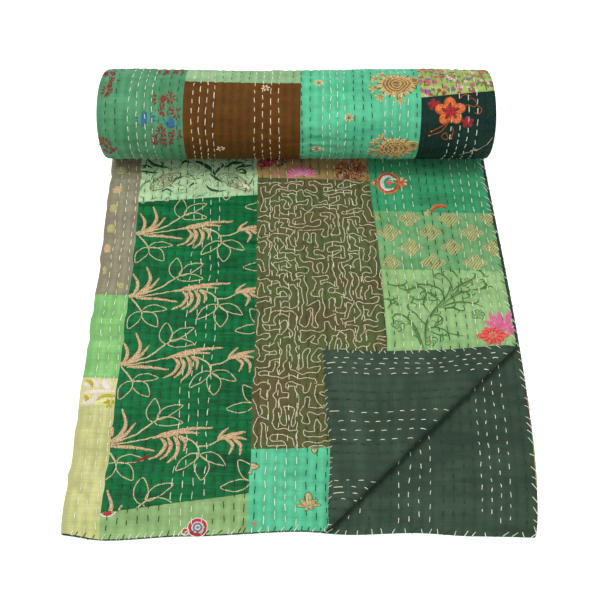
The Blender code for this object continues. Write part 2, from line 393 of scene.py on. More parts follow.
BACKING_CREASES = (
    # across, along, across, along, width, height: the same on the lower layer's backing
    (0.110, 0.070, 0.200, 0.078, 0.0040, -0.0007),
    (0.180, 0.150, 0.320, 0.140, 0.0060, -0.0007),
    (0.200, 0.190, 0.262, 0.196, 0.0050, 0.0006),
    (0.235, 0.110, 0.240, 0.040, 0.0050, -0.0006),
    (0.090, 0.060, 0.096, 0.010, 0.0040, 0.0005),
    (0.255, 0.215, 0.325, 0.226, 0.0050, -0.0007),
)


def crease_relief(x, y, creases):
    total = np.zeros(np.broadcast(x, y).shape)
    for x0, y0, x1, y1, width, height in creases:
        length = math.hypot(x1 - x0, y1 - y0)
        way = ((x1 - x0) / length, (y1 - y0) / length)
        run = (x - x0) * way[0] + (y - y0) * way[1]
        off = (x - x0) * way[1] - (y - y0) * way[0]
        off = off + CREASE_WANDER * noise(run / 0.03, 0 * run + x0 * 50, 8)
        ends = ease(run / CREASE_END) * ease((length - run) / CREASE_END)
        total = total + height * ends * np.exp(-((off / width) ** 2))
    return total


def row_relief(share, along, seed):
    """Ribs between the rows of stitches, and the fine puckers that the stitches draw up."""
    rib = 0.5 - 0.5 * np.cos(math.tau * ROWS * share)
    rows = np.floor(ROWS * share + 0.5)
    pull = noise(along / PULL_LENGTH + 7.3 * rows, rows * 1.7, seed)
    ripple = noise(share * 13, along / RIPPLE_LENGTH, seed + 1)
    broad = noise(share * 9, along / 0.05, seed + 2)
    swell = noise(share * 5, along / 0.11, seed + 3)
    relief = RIB * rib * (0.85 + 0.3 * broad) + PUCKER * 0.7 * pull * (1 - rib)
    return relief + PUCKER * ripple * (0.75 + 0.45 * swell)


def edge_calm(share):
    """None at the fold and the free edge, where the cloth keeps its plain thickness."""
    return ease(share / 0.02) * ease((1 - share) / 0.012)


# ---------------------------------------------------------------- materials


class Material:
    """A Principled material whose patterns read the flat layout, in metres of cloth."""

    def __init__(self, name, roughness, sheen=0.05, specular=0.2):
        self.material = bpy.data.materials.new(name)
        self.material.use_nodes = True
        self.tree = self.material.node_tree
        self.shader = self.tree.nodes["Principled BSDF"]
        self.shader.inputs["Roughness"].default_value = roughness
        self.shader.inputs["Sheen Weight"].default_value = sheen
        self.shader.inputs["Sheen Roughness"].default_value = 0.5
        self.shader.inputs["Specular IOR Level"].default_value = specular
        self.shader.inputs["Metallic"].default_value = 0
        self.layout = self.node("ShaderNodeAttribute", attribute_name="layout")

    def node(self, kind, **settings):
        made = self.tree.nodes.new(kind)
        for key, value in settings.items():
            if key in made.inputs:
                made.inputs[key].default_value = value
            else:
                setattr(made, key, value)
        return made

    def link(self, start, end):
        self.tree.links.new(start, end)

    def plug(self, value, socket):
        """Gives a socket another node's output, a number or a colour."""
        if isinstance(value, bpy.types.NodeSocket):
            self.link(value, socket)
        else:
            socket.default_value = (*value, 1) if isinstance(value, tuple) else value

    def scaled(self, across, along):
        """The layout, so many steps to a metre."""
        mapping = self.node("ShaderNodeMapping", Scale=(across, along, 300))
        self.link(self.layout.outputs["Vector"], mapping.inputs["Vector"])
        return mapping.outputs["Vector"]

    def noise(self, across, along, detail=2.0, rough=0.5):
        made = self.node("ShaderNodeTexNoise", Scale=1.0, Detail=detail, Roughness=rough)
        self.link(self.scaled(across, along), made.inputs["Vector"])
        return made.outputs["Fac"]

    def wave(self, across, along, direction, distortion=1.0):
        made = self.node("ShaderNodeTexWave", Scale=1.0, Distortion=distortion, Detail=1.0)
        made.bands_direction = direction
        self.link(self.scaled(across, along), made.inputs["Vector"])
        return made.outputs["Fac"]

    def ramp(self, fac, stops):
        made = self.node("ShaderNodeValToRGB")
        ramp = made.color_ramp
        while len(ramp.elements) < len(stops):
            ramp.elements.new(0.5)
        for element, (place, colour) in zip(ramp.elements, stops):
            element.position = place
            element.color = (*colour, 1)
        self.link(fac, made.inputs["Fac"])
        return made.outputs["Color"]

    def mix(self, fac, first, second, kind="MIX"):
        made = self.node("ShaderNodeMix", data_type="RGBA", blend_type=kind)
        for name, value in (("Factor", fac), ("A", first), ("B", second)):
            self.plug(value, next(s for s in made.inputs if s.name == name and s.enabled))
        return next(s for s in made.outputs if s.enabled)

    def math(self, kind, first, second):
        made = self.node("ShaderNodeMath", operation=kind)
        self.plug(first, made.inputs[0])
        self.plug(second, made.inputs[1])
        return made.outputs[0]

    def attribute(self, name):
        return self.node("ShaderNodeAttribute", attribute_name=name).outputs["Fac"]

    def colour(self, socket):
        self.link(socket, self.shader.inputs["Base Color"])

    def bump(self, height, strength, distance=0.001):
        made = self.node("ShaderNodeBump", Strength=strength, Distance=distance)
        self.link(height, made.inputs["Height"])
        before = self.shader.inputs["Normal"]
        if before.is_linked:
            self.link(before.links[0].from_socket, made.inputs["Normal"])
        self.link(made.outputs["Normal"], before)


def linear(colour):
    """An sRGB colour of 0 to 255 as the linear values that shaders use."""
    scaled = (c / 255 for c in colour)
    return tuple(c / 12.92 if c <= 0.04045 else ((c + 0.055) / 1.055) ** 2.4 for c in scaled)


def shade(colour, factor):
    return tuple(min(c * factor, 1) for c in colour)


def grey(value):
    return (value,) * 3


def plain_weave(m):
    """The threads of a plain cotton weave, its uneven slubs and fine crinkles."""
    warp = m.wave(900, 40, "X", 0.6)
    weft = m.wave(40, 900, "Y", 0.6)
    m.bump(m.math("MULTIPLY", warp, weft), 0.15, 0.0002)
    m.bump(m.noise(240, 420, 3.0, 0.6), 0.3, 0.0005)
    m.bump(m.noise(55, 190, 3.0, 0.6), 0.55, 0.0014)


def wear_and_hollow_shade(m, colour_socket):
    """Fades the ribs a little, as wear, and paints shade into the hollows: the rows of stitches, the
    creases and the seams come out darker.
    """
    # painted shade: the lower the relief, the darker the colour, down to 0.8 of it in the hollows; the
    # crests fade to 1.06 as wear
    tone = m.ramp(m.attribute("relief"), ((0.0, grey(0.80)), (0.7, grey(1)), (1.0, grey(1.06))))
    return m.mix(1.0, colour_socket, tone, "MULTIPLY")


def cotton(name, colour, second=None, roughness=0.85, streak=0.10, sheen=0.05):
    """Printed or dyed sari cotton: base colour, cloudy fading and thin weft streaks."""
    m = Material(name, roughness, sheen, 0.12)
    base = linear(colour)
    other = linear(second) if second else shade(base, 0.80)
    cloud = m.ramp(m.noise(9, 16, 4.0, 0.65), ((0.34, other), (0.60, base)))
    tones = ((0.25, grey(1 - 2 * streak)), (0.75, grey(1 + streak / 2)))
    streaks = m.ramp(m.noise(18, 700, 2.0, 0.6), tones)
    threads = m.ramp(m.noise(900, 24, 1.0, 0.5), ((0.2, grey(1 - streak / 2)), (0.8, grey(1))))
    toned = m.mix(1.0, m.mix(1.0, cloud, streaks, "MULTIPLY"), threads, "MULTIPLY")
    m.colour(wear_and_hollow_shade(m, toned))
    plain_weave(m)
    return m.material


def satin(name, colour, deep):
    """Slubbed raw silk: a soft gloss, with horizontal streaks; the palest streaks are painted
    highlights.
    """
    m = Material(name, 0.55, 0, 0.12)
    base, dark = linear(colour), linear(deep)
    slub = m.noise(22, 620, 4.0, 0.65)
    broad = m.noise(7, 70, 3.0, 0.6)
    tone = m.math("ADD", m.math("MULTIPLY", slub, 0.5), m.math("MULTIPLY", broad, 0.5))
    # painted highlight: the palest streaks are 1.5 times the base colour; the deeper colour is the
    # darker slubs
    m.colour(wear_and_hollow_shade(m, m.ramp(tone, ((0.38, dark), (0.50, base), (0.64, shade(base, 1.5))))))
    m.bump(slub, 0.7, 0.0008)
    m.bump(m.noise(14, 90, 3.0, 0.6), 0.8, 0.0040)
    return m.material


def thread(name, colour):
    """Twisted cotton thread: its layout is across it, along it, and a tone for each stitch."""
    m = Material(name, 0.6, 0.05, 0.15)
    base = linear(colour)
    parts = m.node("ShaderNodeSeparateXYZ")
    m.link(m.layout.outputs["Vector"], parts.inputs["Vector"])
    tone = m.ramp(parts.outputs["Z"], ((0.0, shade(base, 0.72)), (1.0, shade(base, 1.05))))
    twist = m.wave(300, 300, "DIAGONAL", 0.3)
    m.colour(m.mix(1.0, tone, m.ramp(twist, ((0.2, grey(0.84)), (0.7, grey(1)))), "MULTIPLY"))
    m.bump(twist, 0.4, 0.0003)
    return m.material


def floss(name, light, dark, roughness=0.5, stitch_gap_shade=0.5):
    """Shiny embroidery thread in small stitches, whose colour changes along each stroke, with painted
    shade in the gaps between the stitches.
    """
    m = Material(name, roughness, 0.08, 0.35)
    tone = m.noise(620, 520, 3.0, 0.7)
    # painted shade: darker bands between the stitches of each stroke
    chain = m.ramp(m.wave(90, 430, "DIAGONAL", 4.0), ((0.12, grey(1 - stitch_gap_shade)), (0.5, grey(1))))
    colours = m.ramp(tone, ((0.38, linear(dark)), (0.54, linear(light))))
    m.colour(m.mix(1.0, colours, chain, "MULTIPLY"))
    m.bump(m.wave(110, 430, "DIAGONAL", 3.0), 0.6, 0.0006)
    return m.material


# ---------------------------------------------------------------- the patches

# Columns of patches on the upper layer, by the share of the way from the fold
SEAM_1, SEAM_2, SEAM_3 = 0.0755, 0.3873, 0.6942

UPPER_PATCHES = (
    # from share, to share, near left, near right, far left, far right, cloth
    (0, SEAM_1, 0.3865, 0.3865, 1, 1, "taupe"),
    (0, SEAM_1, 0.2386, 0.2386, 0.3865, 0.3865, "leaf_green"),
    (0, SEAM_1, 0.1907, 0.1939, 0.2386, 0.2386, "yellow_print"),
    (0, SEAM_1, -1, -1, 0.1907, 0.1939, "lime"),
    (SEAM_1, SEAM_2, 0.5733, 0.5895, 1, 1, "sage_print"),
    (SEAM_1, SEAM_2, 0.0294, 0.0582, 0.5733, 0.5895, "bottle_silk"),
    (SEAM_1, SEAM_2, -1, -1, 0.0294, 0.0582, "sage"),
    (SEAM_2, SEAM_3, 0.6269, 0.6196, 1, 1, "brown_print"),
    (SEAM_2, SEAM_3, 0.1242, 0.1282, 0.6269, 0.6196, "olive"),
    (SEAM_2, SEAM_3, -1, -1, 0.1242, 0.1282, "mint"),
    (SEAM_3, 1, 0.5542, 0.5499, 1, 1, "emerald"),
    (SEAM_3, 1, 0.4363, 0.4324, 0.5542, 0.5499, "brocade"),
    (SEAM_3, 1, -1, -1, 0.4363, 0.4324, "scroll_green"),
)

PAST = 9  # past the quilt's ends


def level_patches(low, high, *patches):
    """A column of patches with level seams, from the near end: each cloth and where it ends."""
    ends = [-PAST, *(end for _, end in patches)]
    return [(low, high, a, a, b, b, cloth) for a, b, (cloth, _) in zip(ends, ends[1:], patches)]


# The lower layer's face, whose edge peeps out on the right; the share runs from the fold too
LOWER_PATCHES = (
    *level_patches(0, 0.5, ("leaf_green", 0.35), ("emerald", PAST)),
    *level_patches(
        0.5,
        1,
        ("mint", 0.062),
        ("khaki", 0.122),
        ("brown", 0.150),
        ("coral", 0.178),
        ("orange", 0.225),
        ("teal", PAST),
    ),
)


def turn_at(angle):
    """Turns from the roll's outer end to an angle above its front, in degrees, over the top."""
    return (270 - angle) / 360


ROLL_1, ROLL_2, ROLL_3 = 0.2096, 0.5050, 0.8100
TOP_SEAM = (turn_at(95) * ROUND, turn_at(92) * ROUND)
SIDE_SEAM = (turn_at(69) * ROUND, turn_at(80) * ROUND)

# The outside of the roll; along is measured inwards from the quilt's outer end
ROLL_PATCHES = (
    (0, ROLL_1, 0.062, 0.066, PAST, PAST, "sea_print"),
    (0, ROLL_1, -1, -1, 0.062, 0.066, "pale_leaf"),
    (ROLL_1, ROLL_2, *TOP_SEAM, PAST, PAST, "brown"),
    (ROLL_1, ROLL_2, -1, -1, *TOP_SEAM, "pale_leaf"),
    (ROLL_2, ROLL_3, 0.090, 0.084, PAST, PAST, "mint"),
    (ROLL_2, ROLL_3, -1, -1, 0.090, 0.084, "taupe"),
    (ROLL_3, 1, *SIDE_SEAM, PAST, PAST, "teal"),
    (ROLL_3, 1, 0.05, 0.045, *SIDE_SEAM, "lime_print"),
    (ROLL_3, 1, -1, -1, 0.05, 0.045, "emerald"),
)

# The turns inside the roll show only as edges at its ends
INNER_PATCHES = (
    *level_patches(
        0,
        0.5,
        ("pale_leaf", 0.65),
        ("lime", 0.80),
        ("bottle_silk", 1.02),
        ("taupe", 1.22),
        ("mint", PAST),
    ),
    *level_patches(0.5, 1, ("emerald", 0.60), ("mint", 0.84), ("brown", 1.10), ("lime", PAST)),
)

BACKING_PATCHES = level_patches(0, 1, ("backing", PAST))

# Each maker's cloths, with the colours, as 0 to 255, and the values it takes
CLOTHS = {
    # colour, what it fades to, roughness, streaks, sheen
    cotton: {
        "taupe": ((138, 134, 109), (127, 121, 98)),
        "leaf_green": ((131, 187, 114), (115, 172, 100)),
        "pale_leaf": ((141, 177, 131), (124, 163, 117)),
        "yellow_print": ((204, 202, 138), (212, 208, 154)),
        "lime": ((191, 191, 131), (177, 182, 116)),
        "sage_print": ((180, 206, 158), (158, 198, 150)),
        "sage": ((142, 175, 116), (127, 161, 102)),
        "brown_print": ((168, 140, 90), (144, 116, 76)),
        "olive": ((77, 91, 49), (88, 78, 47)),
        "mint": ((93, 190, 147), (74, 171, 129)),
        "emerald": ((46, 152, 100), (36, 134, 86), 0.7, 0.14, 0.35),
        "brocade": ((107, 160, 104), (87, 148, 93), 0.7, 0.10, 0.35),
        "scroll_green": ((146, 183, 123), (132, 172, 109)),
        "khaki": ((168, 160, 110),),
        "brown": ((97, 61, 18), (83, 50, 13), 0.75, 0.10, 0.0),
        "coral": ((226, 92, 84),),
        "orange": ((218, 106, 44),),
        "teal": ((20, 50, 42), (12, 38, 33), 0.7, 0.10, 0.0),
        "sea_print": ((81, 142, 102), (67, 129, 89)),
        "lime_print": ((164, 184, 104), (146, 168, 90)),
        "backing": ((59, 77, 62), (48, 65, 52), 0.9, 0.10, 0.05),
        "print_leaf": ((72, 114, 62), (92, 134, 76)),
        "print_sage": ((128, 164, 104),),
        "aqua_print": ((132, 190, 152),),
        "pale_sage_print": ((190, 214, 170),),
        "deep_green_print": ((34, 84, 50),),
        "leaf_print": ((104, 146, 62),),
        "print_coral": ((196, 120, 92),),
        "red_print": ((200, 58, 76),),
        "red_sprig": ((150, 56, 58),),
        "rose_print": ((206, 110, 138),),
        "rose_brown_print": ((150, 130, 102),),
        "coral_print": ((214, 108, 90),),
        "purple_print": ((140, 108, 182),),
        "blue_print": ((60, 116, 152),),
        "white_print": ((242, 228, 216),),
        "mustard_print": ((196, 178, 52),),
        "faded_gold": ((192, 184, 128),),
        "peach_print": ((214, 186, 142),),
        "beige_print": ((206, 186, 150),),
        "dark_brown_print": ((78, 40, 24),),
    },
    # colour, deeper colour
    satin: {
        "bottle_silk": ((3, 92, 47), (2, 65, 33)),
    },
    # colour
    thread: {
        "cream_thread": ((236, 236, 212),),
        "dark_thread": ((25, 70, 45),),
    },
    # light, dark, roughness, how dark the painted shade between the stitches is
    floss: {
        "gold_embroidery": ((222, 186, 140), (122, 92, 62), 0.6, 0.4),
        "gold_chain": ((216, 204, 156), (150, 112, 84), 0.6, 0.3),
        "couched_thread": ((240, 238, 206), (178, 116, 96)),
        "zari": ((212, 192, 138), (172, 144, 90)),
        "bright_gold": ((232, 196, 128), (190, 146, 80)),
        "old_gold": ((144, 108, 54), (104, 78, 36)),
        "grey_floss": ((186, 188, 184), (160, 160, 156)),
        "white_floss": ((242, 238, 226), (214, 206, 190)),
        "orange_floss": ((232, 124, 50), (214, 98, 34)),
        "dark_orange_floss": ((190, 86, 40), (150, 62, 30)),
        "red_floss": ((204, 36, 44), (176, 24, 36)),
        "crimson_floss": ((150, 16, 30), (128, 12, 26)),
        "coral_floss": ((240, 98, 88), (226, 78, 74)),
        "pink_floss": ((240, 118, 166), (222, 92, 146)),
        "pale_pink_floss": ((244, 178, 196), (232, 150, 176)),
        "peach_floss": ((242, 210, 188), (220, 180, 156)),
    },
}
materials = {}


def cloth_material(name):
    if name not in materials:
        make = next(maker for maker, cloths in CLOTHS.items() if name in cloths)
        materials[name] = make(name, *CLOTHS[make][name])
    return materials[name]


def patch_at(patches, share, along):
    """The number of the patch that holds each point."""
    found = np.zeros(np.shape(share), int)
    for number, (low, high, near0, near1, far0, far1, _) in enumerate(patches):
        way = (share - low) / (high - low)
        inside = (way >= 0) & (way <= 1)
        inside &= (along >= blend(near0, near1, way)) & (along < blend(far0, far1, way))
        found[inside] = number
    return found


# ---------------------------------------------------------------- the cloths


class Layout:
    """A stretch of the folded quilt laid out flat as triangles.

    Each point has a plain x and y and its column, 0 to 1 across the lower layer from the free
    edge to the fold, 1 to 2 round the fold, and 2 to 3 across the upper layer.
    """

    def __init__(self, columns, rows, plan):
        self.mesh = bmesh.new()
        self.column = self.mesh.verts.layers.float.new("column")
        lines = []
        for column in columns:
            x, y = plan(column, rows)
            line = [self.mesh.verts.new((a, b, 0)) for a, b in zip(x, y)]
            for v in line:
                v[self.column] = column
            lines.append(line)
        for near, far in zip(lines, lines[1:]):
            for i in range(len(rows) - 1):
                self.mesh.faces.new((near[i], far[i], far[i + 1], near[i + 1]))

    def cut(self, columns, point, way):
        """Cuts the faces between two columns along a straight line."""
        low, high = columns[0] - 1e-4, columns[1] + 1e-4
        layer = self.column
        faces = [f for f in self.mesh.faces if all(low <= v[layer] <= high for v in f.verts)]
        edges = {e for f in faces for e in f.edges}
        verts = {v for f in faces for v in f.verts}
        bmesh.ops.bisect_plane(
            self.mesh,
            geom=[*verts, *edges, *faces],
            dist=1e-5,
            plane_co=(*point, 0),
            plane_no=(way[1], -way[0], 0),
        )

    def cut_seams(self, patches, x_at, column_at):
        """Cuts the faces along the seams between the patches of each column."""
        for low, high, near0, near1, *_ in patches:
            if near0 > 0:
                start = np.array((float(x_at(low, near0)), near0))
                end = np.array((float(x_at(high, near1)), near1))
                columns = sorted((column_at(low), column_at(high)))
                self.cut(columns, start, (end - start) / np.linalg.norm(end - start))

    def cut_crease(self):
        """Cuts the upper layer along the bend of the corner that is turned back."""
        for past in (*(CREASE_ARC * i / 10 for i in range(11)), -0.006):
            self.cut((2, 3), CREASE_FRONT + past * CREASE_OUT, CREASE_WAY)

    def finish(self):
        bmesh.ops.triangulate(self.mesh, faces=self.mesh.faces[:])
        self.mesh.verts.index_update()
        self.x, self.y = np.array([v.co.xy for v in self.mesh.verts]).T.astype(float)
        self.columns = np.array([v[self.column] for v in self.mesh.verts])
        self.faces = np.array([[v.index for v in f.verts] for f in self.mesh.faces])
        self.rim = np.array(
            [
                (loop.vert.index, loop.link_loop_next.vert.index)
                for e in self.mesh.edges
                if e.is_boundary
                for loop in e.link_loops
            ]
        )
        self.mesh.free()
        return self


def share_of(columns):
    """The share of the way from the fold, in either layer."""
    return np.where(columns > 1.5, np.clip(columns - 2, 0, 1), np.clip(1 - columns, 0, 1))


def build_cloth(name, layout, place, heights, patches, relief):
    """A closed cloth between two heights of the quilt, with a material for each patch."""
    first, second = (place(layout, height) for height in heights)
    count = len(first)
    faces = [*layout.faces.tolist(), *(layout.faces[:, ::-1] + count).tolist()]
    a, b = layout.rim.T
    faces += np.stack((b, a, a + count, b + count), axis=1).tolist()
    mesh = bpy.data.meshes.new(name)
    mesh.from_pydata(np.concatenate((first, second)).tolist(), [], faces)

    names = list(dict.fromkeys(row[-1] for table in patches for row in table))
    for cloth in names:
        mesh.materials.append(cloth_material(cloth))
    middle = layout.columns[layout.faces].mean(axis=1)
    share, along = share_of(middle), layout.y[layout.faces].mean(axis=1)
    slots = [[names.index(row[-1]) for row in table] for table in patches]
    upper = np.array(slots[1])[patch_at(patches[1], share, along)]
    lower = np.array(slots[0])[patch_at(patches[0], share, along)]
    slot = np.where(middle > 1.5, upper, lower)
    of_vertex = np.zeros(count, int)
    of_vertex[layout.faces.ravel()] = np.repeat(slot, 3)
    index = np.concatenate((slot, slot, of_vertex[a]))
    mesh.polygons.foreach_set("material_index", index)

    across = np.where(layout.columns > 1.5, 1, -1) * share_of(layout.columns) * SPAN
    write(mesh, "layout", np.tile(np.stack((across, layout.y, 0 * across), axis=1), (2, 1)))
    # relief from 0 in the hollows to 1 on the ribs, which the materials turn into painted shade in the
    # hollows and wear on the ribs
    write(mesh, "relief", np.tile(np.broadcast_to(relief, count), 2))
    mesh.shade_smooth()
    mesh.set_sharp_from_angle(angle=math.radians(60))
    mesh.validate()
    piece = bpy.data.objects.new(name, mesh)
    bpy.context.scene.collection.objects.link(piece)
    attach(piece, "root")
    return piece


def write(mesh, name, values):
    """Keeps a number or a vector at each point, for the materials to read."""
    kind, field = ("FLOAT", "value") if values.ndim == 1 else ("FLOAT_VECTOR", "vector")
    made = mesh.attributes.new(name, kind, "POINT")
    made.data.foreach_set(field, np.ascontiguousarray(values, np.float32).ravel())


# The loose end


def fine_shares(seams):
    steps = np.arange(ROWS * CELLS_PER_ROW + 1) / (ROWS * CELLS_PER_ROW)
    apart = [s for s in steps if all(abs(s - seam) > 0.0012 for seam in seams)]
    return sorted([*apart, *seams])


def fold_columns(steps):
    """Columns round the fold, without its two ends."""
    return [1 + i / steps for i in range(1, steps)]


def loose_plan(column, rows):
    """Where a column of the loose end lies flat: the upper layer keeps its real place."""
    end = ROLL_Y - GAP
    far = end * rows
    share = float(share_of(np.array(column)))
    place = upper_x if column >= 2 else lower_x
    edge = upper_front_edge if column >= 2 else front_edge
    y = blend(edge(place(share, far)), end, rows)
    if column >= 2:
        return upper_x(share, y), y
    start = fold_start(y) - math.pi * fold_radius(y)
    if column > 1:
        return start + (column - 1) * math.pi * fold_radius(y), y
    return start - (lower_x(share, y) - fold_start(y)), y


def upper_relief(x, y):
    """The relief of the upper layer's face."""
    share = upper_share(x, y)
    relief = row_relief(share, y, 20) + crease_relief(x, y, CREASES)
    return relief * edge_calm(share) + seam_relief(UPPER_PATCHES, share, y)


def face_height(layout):
    return np.where(layout.columns >= 2, upper_relief(layout.x, layout.y), 0)


def seam_relief(patches, share, along):
    """A shallow dip along each seam, and the ridge of the turnings under its far side."""
    total = np.zeros(np.broadcast(share, along).shape)
    for low, high, near0, near1, _, _, _ in patches:
        way = (share - low) / (high - low)
        off = along - blend(near0, near1, way)
        inside = (way > 0) & (way < 1)
        total += np.where(inside, seam_profile(off), 0)
    for seam in sorted({row[0] for row in patches} - {0}):
        total += seam_profile((share - seam) * SPAN)
    return total


def seam_profile(off):
    dip = -SEAM_DIP * np.exp(-((off / SEAM_WIDTH) ** 2))
    return dip + 0.4 * SEAM_DIP * np.exp(-(((off - TURNING_PLACE) / TURNING_WIDTH) ** 2))


def backing_relief(share, along):
    return 0.55 * row_relief(share, along, 40) * edge_calm(share)


def backing_height(layout):
    """The relief of the backing: on the turned-back corner and on the lower layer."""
    share = share_of(layout.columns)
    relief = backing_relief(share, layout.y)
    lower = relief + crease_relief(lower_x(share, layout.y), layout.y, BACKING_CREASES)
    return np.where(layout.columns >= 2, relief, np.where(layout.columns <= 1, lower, 0))


def place_loose(layout, height):
    x, y, column = layout.x, layout.y, layout.columns
    share = share_of(column)
    angle = np.clip(column - 1, 0, 1) * math.pi
    places = np.where((column >= 2)[:, None], place_upper(x, y, height), place_fold(y, angle, height))
    lower = place_lower(lower_x(share, y), y, height)
    return np.where((column <= 1)[:, None], lower, places)


def build_loose_end():
    rows = np.linspace(0, 1, round(ROLL_Y / CELL) + 1)
    lower = [1 - s for s in np.linspace(1, 0, 36)]
    upper = [2 + s for s in fine_shares((SEAM_1, SEAM_2, SEAM_3))]
    layout = Layout([*lower, *fold_columns(10), *upper], rows, loose_plan)
    layout.cut_crease()
    layout.cut_seams(UPPER_PATCHES, upper_x, lambda share: 2 + share)
    layout.finish()
    relief = face_height(layout)
    face = build_cloth(
        "patchwork_face",
        layout,
        place_loose,
        (HALF_QUILT + relief, GAP / 2),
        (LOWER_PATCHES, UPPER_PATCHES),
        np.clip(relief / RIB, 0, 1),
    )
    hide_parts("loose_end_face")

    # The backing shows only near the corner, so it is finely divided only there
    shown = np.arange(BACKING_FIRST_ROW * 3, ROWS * 3 + 1) / (ROWS * 3)
    shares = [*np.linspace(0, shown[0], 22)[:-1], *shown]
    lower = [1 - s for s in shares[::-1]]
    upper = [2 + s for s in shares]
    near = np.linspace(0, BACKING_NEAR, round(BACKING_NEAR * ROLL_Y / (1.2 * CELL)))
    rows = np.array([*near, *np.linspace(BACKING_NEAR, 1, 24)[1:]])
    layout = Layout([*lower, *fold_columns(6), *upper], rows, loose_plan)
    layout.cut_crease()
    layout.finish()
    relief = backing_height(layout)
    backing = build_cloth(
        "backing_cloth",
        layout,
        place_loose,
        (-GAP / 2, -HALF_QUILT - relief),
        (BACKING_PATCHES, BACKING_PATCHES),
        np.clip(2 * relief / RIB, 0, 1),
    )
    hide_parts("loose_end_backing")


# The roll

WRAP = 0.0112  # the two layers of a turn, at the top
BOTTOM_WRAP = 0.0076
INNER_STEPS = 56  # in a turn
FLAT_FOLD = 0.01  # the room between the two layers where the roll is laid out flat


def wrap(turn):
    return blend(BOTTOM_WRAP, WRAP, 0.5 - 0.5 * np.cos(math.tau * turn))


def roll_plan(column, alongs):
    share = float(share_of(np.array(column)))
    turn = alongs / ROUND
    if column >= 2:
        return roll_x(share, turn), alongs
    start = roll_x(0.0, turn)
    if column > 1:
        return start - FLAT_FOLD * (2 - column), alongs
    return start - FLAT_FOLD - (roll_x(share, turn) - start), alongs


def place_wound(layout, height):
    """The folded quilt wound up: the lower layer outside, the upper one inside."""
    turn, column = layout.y / ROUND, layout.columns
    share = share_of(column)
    thick = wrap(turn)
    radius = (thick - 2 * HALF_QUILT) / 2
    angle = np.clip(column - 1, 0, 1) * math.pi
    layer_x = roll_x(share, turn) + (1 - share) * radius
    fold_x = roll_x(0 * share, turn) + radius - (radius + height) * np.sin(angle)
    x = np.where((column > 1) & (column < 2), fold_x, layer_x)
    depth = thick / 2 - (radius + height) * np.cos(angle)
    return place_roll(x, turn, depth)


def roll_relief(share, along):
    """The relief of the roll's outside."""
    relief = row_relief(share, along + 0.9, 60) * edge_calm(share)
    relief = relief + crease_relief((share - 0.5) * SPAN, 0.75 * ROUND - along, ROLL_CREASES)
    return relief + seam_relief(ROLL_PATCHES, share, along)


def wound_height(layout):
    relief = roll_relief(share_of(layout.columns), layout.y)
    return np.where(layout.columns <= 1, relief - RIB, -RIB * (layout.columns < 2))


def edge_shares():
    """Shares that lie close together at both ends of the roll, where its turns show."""
    near = np.array((0, 0.002, 0.004, 0.007, 0.011, 0.017, 0.028, 0.05, 0.10)) / SPAN
    return [*near, 0.3, 0.5, 0.7, *(1 - near[::-1])]


def build_roll():
    fold = fold_columns(8)
    outside = [1 - s for s in fine_shares((ROLL_1, ROLL_2, ROLL_3))[::-1]]
    inside = [2 + s for s in edge_shares()]
    plain = [1 - s for s in edge_shares()[::-1]]
    steps = np.linspace(0, 1, round(ROUND / (1.1 * CELL)) + 1)
    outer = Layout([*outside, *fold, *inside], steps * ROUND, roll_plan)
    outer.cut_seams(ROLL_PATCHES, mirrored_x, lambda share: 1 - share)
    outer.finish()
    steps = np.linspace(1, TURNS, round((TURNS - 1) * INNER_STEPS) + 1)
    turns = Layout([*plain, *fold, *inside], steps * ROUND, roll_plan).finish()
    steps = np.linspace(0, 1, INNER_STEPS + 1)
    outer_plain = Layout([*plain, *fold, *inside], steps * ROUND, roll_plan).finish()

    faces, backings = [], []
    relief = wound_height(outer)
    faces.append(build_cloth(
        "roll_outer_turn",
        outer,
        place_wound,
        (HALF_QUILT + relief, GAP / 2 - RIB),
        (ROLL_PATCHES, INNER_PATCHES),
        np.clip(relief / RIB + 1, 0, 1),
    ))
    for name, layout, low, high, table, made in (
        ("roll_inner_turns", turns, GAP / 2, HALF_QUILT, INNER_PATCHES, faces),
        ("roll_backing", turns, -HALF_QUILT, -GAP / 2, BACKING_PATCHES, backings),
        ("roll_outer_backing", outer_plain, -HALF_QUILT, -GAP / 2, BACKING_PATCHES, backings),
    ):
        heights = (high - RIB, low - RIB)
        made.append(build_cloth(name, layout, place_wound, heights, (table, table), 1.0))
    for piece, slot in [(p, "patchwork") for p in faces] + [(p, "backing") for p in backings]:
        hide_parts("rolled_end")
        outside_turn = "outer" in piece.name


def mirrored_x(share, along):
    """Where the flat layout of the roll has a point of the lower layer."""
    return roll_plan(1 - share, np.array(along))[0]


# ---------------------------------------------------------------- what lies on the cloths

# A ground is one face of the quilt: it places a point across, along and above itself, and
# tells the share of the way from the fold. A mirrored one is seen from the flat layout's back.
Ground = namedtuple("Ground", "place share mirrored")


def share_between(x, y, start, end, shift=0.0):
    share = (x - start) / (end - start)
    for _ in range(3):
        share = (x - start - sway(share, y + shift)) / (end - start)
    return np.clip(share, 0, 1)


def upper_share(x, y):
    return share_between(x, y, fold_start(y), upper_right_edge(y))


def lower_share(x, y):
    return share_between(x, y, fold_start(y), right_edge(y), LOWER_SWAY)


def roll_share(x, rise):
    turn = FRONT_TURN - rise / ROUND
    return share_between(x, turn * ROUND, roll_end(0, turn), roll_end(1, turn), ROLL_SWAY)


def on_upper(x, y, lift):
    return place_upper(x, y, HALF_QUILT + upper_relief(x, y) + lift)


def on_flap_back(x, y, lift):
    return place_upper(x, y, -HALF_QUILT - backing_relief(upper_share(x, y), y) - lift)


def on_lower_back(x, y, lift):
    relief = backing_relief(lower_share(x, y), y) + crease_relief(x, y, BACKING_CREASES)
    return place_lower(x, y, -HALF_QUILT - relief - lift)


def on_underside(x, y, lift):
    return place_lower(x, y, HALF_QUILT + lift)


